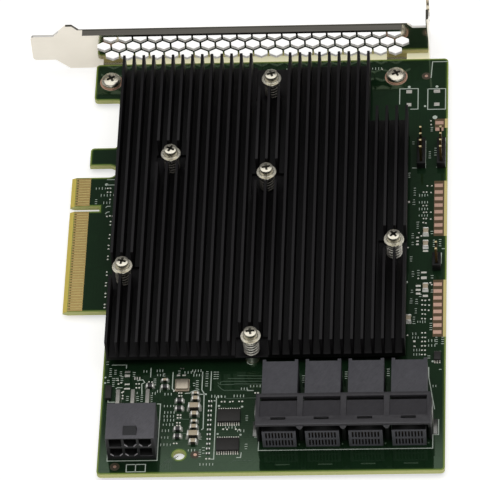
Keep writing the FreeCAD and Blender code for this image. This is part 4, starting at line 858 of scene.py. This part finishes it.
def filler_look(place, facing):
    grain = place.noise(6.0, 4.0)
    return {"Base Color": grain.blend((0.3, 0.33, 0.38), (0.46, 0.49, 0.53)), "Roughness": 0.9,
            "Normal": grain.bump(0.5, 50)}


package = finish("lidded_package", package_look)
for node in ("controller_chip_1", "controller_chip_2", "switch_chip"):
    softened(node, package, 0.12)
filler = finish("soft_filler", filler_look)
for index in (1, 2, 3):
    repaint(f"thermal_pad_{index}", filler)


# Drive ports: glass filled nylon, nearly black, with the fine spark grain of the mould. The shroud
# is a little darker and smoother than the four modules behind it.
# Black painted into the cavities, the channels and the sockets as shade.
SHADE_BLACK = (0.003, 0.003, 0.003)
CAVITY_LOW_X = 58.5
CAVITY_HIGH_X = 107.3
MOUTH_Y = -89.75
TONGUE_Y = -89.4
CAVITY_END_Y = -79.1
NOSES_X = (70.7, 82.9, 95.1)


def moulded(name, dark, pale, gloss, changes):
    """Spark grained plastic. changes(place, facing) returns pairs of a mask and the colour
    that the plastic has there."""
    def look(place, facing):
        grain = place.noise(3.2, 4.0, 0.7)
        cloud = place.noise(0.6, 3.0, 0.6)
        slanted = place.node("ShaderNodeVectorRotate", {"rotation_type": "Z_AXIS"}, {
            "Vector": place, "Angle": math.radians(35)})
        streak = slanted.stretched(2.6, 0.6, 1.0).noise(1.0, 3.0)
        colour = (grain * 0.9 + cloud * 0.5 + streak * 0.7 - 0.55).clamped().blend(dark, pale)
        for mask, shown in changes(place, facing):
            colour = mask.blend(colour, shown)
        return {"Base Color": colour,
                "Roughness": grain * 0.15 + gloss, "Specular IOR Level": 0.4,
                "Normal": (grain + streak * 0.5).bump(0.35, 60)}
    return finish(name, look)


def shroud_changes(place, facing):
    """Painted shade in the cavities and on the fronts, and a painted highlight on the visor's edge.
    """
    x, y, z = place.x, place.y, place.z
    out, up = facing.y, facing.z
    # The cavities are painted black as shade, where no light falls.
    cavity = (x > CAVITY_LOW_X) * (x < CAVITY_HIGH_X) * (y > MOUTH_Y) * (y < CAVITY_END_Y)
    # The front faces below the visor are painted darker as shade.
    front = (out < -0.7) * (z < 11.5) * (y < -89.5)
    # The visor's lower front edge is painted pale as a highlight.
    edge = (out < -0.25) * (up > 0.25) * (y < -89.7)
    return [(cavity * (z < 11.7), SHADE_BLACK), (front, (0.006, 0.006, 0.006)), (edge, (0.1, 0.1, 0.11))]


def tongue_changes(place, facing):
    """The tongues' front faces, painted paler as light, and the channels, painted black as shade."""
    y, z = place.y, place.z
    front = (facing.y < -0.7) * (y < TONGUE_Y)
    channel = (y > TONGUE_Y) * (y < CAVITY_END_Y) * (z < 11.4)
    return [(channel, SHADE_BLACK), (front, (0.085, 0.085, 0.095))]


shroud_plastic = moulded(
    "shroud_plastic", (0.019, 0.017, 0.02), (0.047, 0.045, 0.051), 0.42, shroud_changes)
softened("port_shroud", shroud_plastic, 0.12)
# Between two ports the visor ends in a small blunt nose.
noses = bmesh.new()
for x in NOSES_X:
    bridge(noses, [[noses.verts.new((x + across, y, z)) for across, z in (
        (-1.0, 11.75), (-0.75, 11.0), (-0.25, 10.25), (0.25, 10.25), (0.75, 11.0), (1.0, 11.75))]
        for y in (-90.2, -89.6)])
# The noses' plastic is paler than the shroud's: a painted highlight on the noses.
nose_plastic = moulded(
    "nose_plastic", (0.05, 0.048, 0.054), (0.08, 0.078, 0.086), 0.45, lambda place, facing: [])
add_piece("visor_noses", noses, nose_plastic)
module_plastic = moulded(
    "module_plastic", (0.036, 0.035, 0.042), (0.087, 0.085, 0.097), 0.5, tongue_changes)
for index in (1, 2, 3, 4):
    softened(f"port_module_{index}", module_plastic, 0.07)
repaint("port_contacts", grained(
    "shaded_contacts", (0.02, 0.014, 0.008), (0.06, 0.04, 0.02), 0.2, 0.4, 0.1, 20))


# Board locks: tinned steel clips that hold the ends of the shroud down on the board.
clip_steel = grained(
    "clip_steel", (0.11, 0.11, 0.105), (0.2, 0.2, 0.19), 0.15, 0.22, 0.1, 30,
    1.0, (2.0, 3.0), (1.0, 1.0, 4.0))
for node in ("board_lock_left", "board_lock_right"):
    softened(node, clip_steel, 0.05)


# Supply connector: a nylon block with six keyed sockets and a latch ramp, and square tinned pins
# that bend down through the board behind it.
SUPPLY_X = 22.9
SOCKET_PITCH = 4.2
SOCKET_ROWS_Z = (4.87, 9.07)
SOCKET_HALF = 1.77
SUPPLY_FRONT_Y = -93.1
SOCKETS_FRONT_Y = -93.15


def supply_changes(place, facing):
    """Painted shade in the sockets and on the front face, and a darker latch ramp."""
    x, y, z = place.x, place.y, place.z
    aside = abs(x - SUPPLY_X)
    column = (abs(aside - SOCKET_PITCH) < SOCKET_HALF) + (aside < SOCKET_HALF)
    row = sum(abs(z - middle) < SOCKET_HALF for middle in SOCKET_ROWS_Z)
    # The sockets' insides are painted black as shade.
    inside = (column * row * (y > SOCKETS_FRONT_Y)).clamped()
    # The front face is painted darker as shade.
    front = (facing.y < -0.7) * (y < SUPPLY_FRONT_Y)
    # The keyed corners' slopes catch the light.
    slope = (abs(facing.x) > 0.4) * (facing.z > 0.4) * (z < 10.6)
    slope = slope * (y < -92.85) * (aside < 6.2)
    return [(front, (0.006, 0.006, 0.007)), (inside, SHADE_BLACK), (z > 11.3, (0.01, 0.01, 0.012)),
            (slope, (0.5, 0.48, 0.5))]


supply_plastic = moulded(
    "supply_plastic", (0.056, 0.054, 0.061), (0.12, 0.116, 0.13), 0.45, supply_changes)
softened("power_housing", supply_plastic, 0.12)
softened("power_pins", tin, 0.1)


# Logic chips: black epoxy packages with tinned gull-wing leads, and a small round dimple by the
# first lead of each.
def epoxy_look(place, facing):
    grain = place.noise(8.0, 4.0, 0.7)
    cloud = place.noise(0.8, 2.0)
    mixed = grain * 0.4 + cloud * 0.6
    return {"Base Color": mixed.blend((0.011, 0.01, 0.009), (0.024, 0.022, 0.02)),
            "Roughness": grain * 0.15 + 0.5, "Specular IOR Level": 0.35,
            "Normal": grain.bump(0.3, 40)}


epoxy = finish("chip_epoxy", epoxy_look)
for node in ("logic_chip_1", "logic_chip_2", "regulator_chip"):
    softened(node, epoxy, 0.12)
repaint("logic_chip_leads", tin)
# The regulator's leads: a shoulder, a drop and a foot each, three on a side.
leads = bmesh.new()
for x in (108.05, 108.75, 109.45):
    for edge, way in ((-56.5, 1), (-59.5, -1)):
        for out, depth, low, high in (
                (0.1, 0.4, 0.45, 0.6), (0.28, 0.16, 0.0, 0.6), (0.475, 0.45, 0.0, 0.15)):
            add_block(leads, x, edge + way * out, 0.4, depth, MASK_TOP + low, MASK_TOP + high)
add_piece("regulator_leads", leads, tin)


# Pin headers: black strips with gold plated square pins.
def pin_look(place, facing):
    tip = facing.z > 0.6
    grain = place.noise(4.0, 3.0)
    side = grain.blend((0.78, 0.62, 0.32), (0.92, 0.8, 0.5))
    return {"Base Color": tip.blend((0.16, 0.11, 0.04), side), "Metallic": 1.0,
            "Roughness": grain * 0.2 + 0.25, "Normal": grain.bump(0.1, 20)}


header_plastic = grained(
    "header_plastic", (0.003, 0.003, 0.003), (0.008, 0.008, 0.008), 0.15, 0.4, 0.25, 40,
    0.0, (6.0, 3.0), level=0.25)
for index in (1, 2, 3):
    softened(f"header_{index}", header_plastic, 0.15)
repaint("header_pins", finish("header_pin_gold", pin_look))


# Chip components: fired tan capacitors, dark ferrite beads and resistors, all with tinned ends that
# wrap a little over the body.
def ceramic(name, dark, pale, gloss, side=1.0):
    """Fired ceramic. side is the share of the top's colour that the sides have, as painted shade."""
    def look(place, facing):
        grain = place.noise(5.0, 4.0)
        top = facing.z > 0.5
        # cut is the sides' colour: the top's, dimmed as painted shade.
        cut = grain.blend([part * side for part in dark], [part * side for part in pale])
        return {"Base Color": top.blend(cut, grain.blend(dark, pale)),
                "Roughness": grain * 0.2 + gloss, "Normal": grain.bump(0.25, 40)}
    return finish(name, look)


# The tan capacitors' sides are painted nearly black as shade between the close rows.
tan_ceramic = ceramic("tan_ceramic", (0.36, 0.29, 0.19), (0.56, 0.48, 0.35), 0.35, 0.07)
ferrite = ceramic("dark_ferrite", (0.018, 0.017, 0.017), (0.04, 0.038, 0.038), 0.35)
tray_ceramic = ceramic("tray_ceramic", (0.4, 0.31, 0.22), (0.58, 0.47, 0.36), 0.4)
solder_white = grained(
    "solder", (0.74, 0.73, 0.68), (0.97, 0.96, 0.92), 0.2, 0.36, 0.35, 40, 0.9, (2.6, 3.0))
for node in ("large_capacitors", "small_capacitors", "tiny_capacitors", "edge_capacitors",
             "bypass_capacitors"):
    softened(node, tan_ceramic, 0.06)
for node in ("capacitor_ends", "bead_ends"):
    softened(node, solder_white, 0.1)
for node in ("ferrite_beads", "small_resistors"):
    softened(node, ferrite, 0.05)
softened("edge_choke", epoxy, 0.1)
softened("crystal_tray", tray_ceramic, 0.1)


# Solder: a bright fillet climbs each tinned end from its pad, and flares out past it.
def add_fillet(shape, x, y, along, across, height, way, lies_x):
    """A flared wedge of solder at one end of a chip component of a length, width and height."""
    levels = []
    for z, out, beside in ((BED_Z, 0.42, 0.14), (MASK_TOP + 0.12, 0.3, 0.12),
                           (MASK_TOP + min(height * 0.6, 0.8), 0.07, 0.06)):
        near, far = way * (along / 2 - 0.3), way * (along / 2 + out)
        wide = across / 2 + beside
        levels.append([shape.verts.new((x + a, y + b, z) if lies_x else (x + b, y + a, z))
                       for a, b in ((near, -wide), (far, -wide), (far, wide), (near, wide))])
    bridge(shape, levels)


RESISTOR_TOP_Y = -73.0
RESISTOR_PITCH = 1.7
# Each kind of component: its length, width and height, whether it lies along X, and its places.
SOLDERED = (
    (3.3, 1.8, 1.8, True, ((39.8, -75.35), (39.9, -85.35))),
    (2.05, 1.3, 1.25, True, ((40.05, -72.25), (39.95, -77.75), (39.95, -82.45), (39.95, -87.6))),
    (1.7, 0.85, 0.85, True, ((39.95, -70.1), (39.95, -80.2), (31.0, -65.2))),
    (2.4, 1.5, 0.9, False, ((105.1, -32.1), (100.3, -43.8), (105.0, -11.1), (105.0, -15.9))),
    (2.0, 1.25, 0.9, True, ((35.5, -72.7), (35.5, -75.5), (35.4, -82.9), (35.4, -85.5),
                            (31.1, -67.6), (26.8, -67.2))))
solder = bmesh.new()
for along, across, height, lies_x, places in SOLDERED:
    for x, y in places:
        for way in (-1, 1):
            add_fillet(solder, x, y, along, across, height, way, lies_x)
for row in range(12):
    for x in (43.93, 44.67):
        add_block(solder, x, RESISTOR_TOP_Y - RESISTOR_PITCH * row, 0.34, 0.56, BED_Z,
                  MASK_TOP + 0.38)
add_piece("solder_fillets", solder, solder_white)

# Back of the card: under each package a field of small vias lies beneath the mask, the capacitors
# there have tinned ends, and solder cones stand where the pins come through.
PACKAGE_MIDDLES = ((44.475, 27.05), (77.35, -8.45), (36.85, -43.6))
VIA_PITCH = 1.25
VIA_REACH = 8
CAPACITOR_PITCH = 4
HEADER_PITCH = 2.54
vias = bmesh.new()
back_ends = bmesh.new()
for middle_x, middle_y in PACKAGE_MIDDLES:
    for column in range(-VIA_REACH, VIA_REACH + 1):
        for row in range(-VIA_REACH, VIA_REACH + 1):
            x = middle_x + (column + 0.5) * VIA_PITCH
            y = middle_y + (row + 0.5) * VIA_PITCH
            add_ring(vias, x, y, -0.02, 0.005, 0.24, 0.1, 8)
    for column in (-1, 0, 1):
        for row in (-1, 0, 1):
            for way in (-1, 1):
                x = middle_x + column * CAPACITOR_PITCH + way * 0.42
                y = middle_y + row * CAPACITOR_PITCH
                add_block(back_ends, x, y, 0.26, 0.54, -0.52, 0.005)
                add_block(back_ends, x + way * 0.1, y, 0.4, 0.66, -0.05, 0.005)
add_piece("masked_vias", vias, masked_track)
add_piece("back_capacitor_ends", back_ends, solder_white)
# Each pin's tail: its place and the radius of its cone.
PIN_TAILS = [(SUPPLY_X + SOCKET_PITCH * column, y, 0.95)
             for column in (-1, 0, 1) for y in (-79.1, -74.9)]
PIN_TAILS += [(x, 14.8 + HEADER_PITCH * step, 0.75) for x in (103.4, 109.3) for step in range(4)]
PIN_TAILS += [(108.3, -24.5 + HEADER_PITCH * step, 0.75) for step in range(2)]
cones = bmesh.new()
for x, y, radius in PIN_TAILS:
    add_turned(cones, x, y, [(radius * share, z) for share, z in (
        (0, 0.005), (1, 0.005), (1, -0.06), (0.72, -0.28), (0.5, -0.62), (0.4, -0.95),
        (0, -1.0))], 20)
round_look(add_piece("solder_cones", cones, solder_white), 50)


# Crystal: a thin pressed can, warm grey, soldered to its ceramic tray.
crystal_can = grained(
    "crystal_can", (0.35, 0.31, 0.24), (0.5, 0.44, 0.36), 0.15, 0.3, 0.15, 30,
    1.0, (2.0, 3.0), (5.0, 0.6, 1.0))
softened("crystal_can", crystal_can, 0.25, 3)
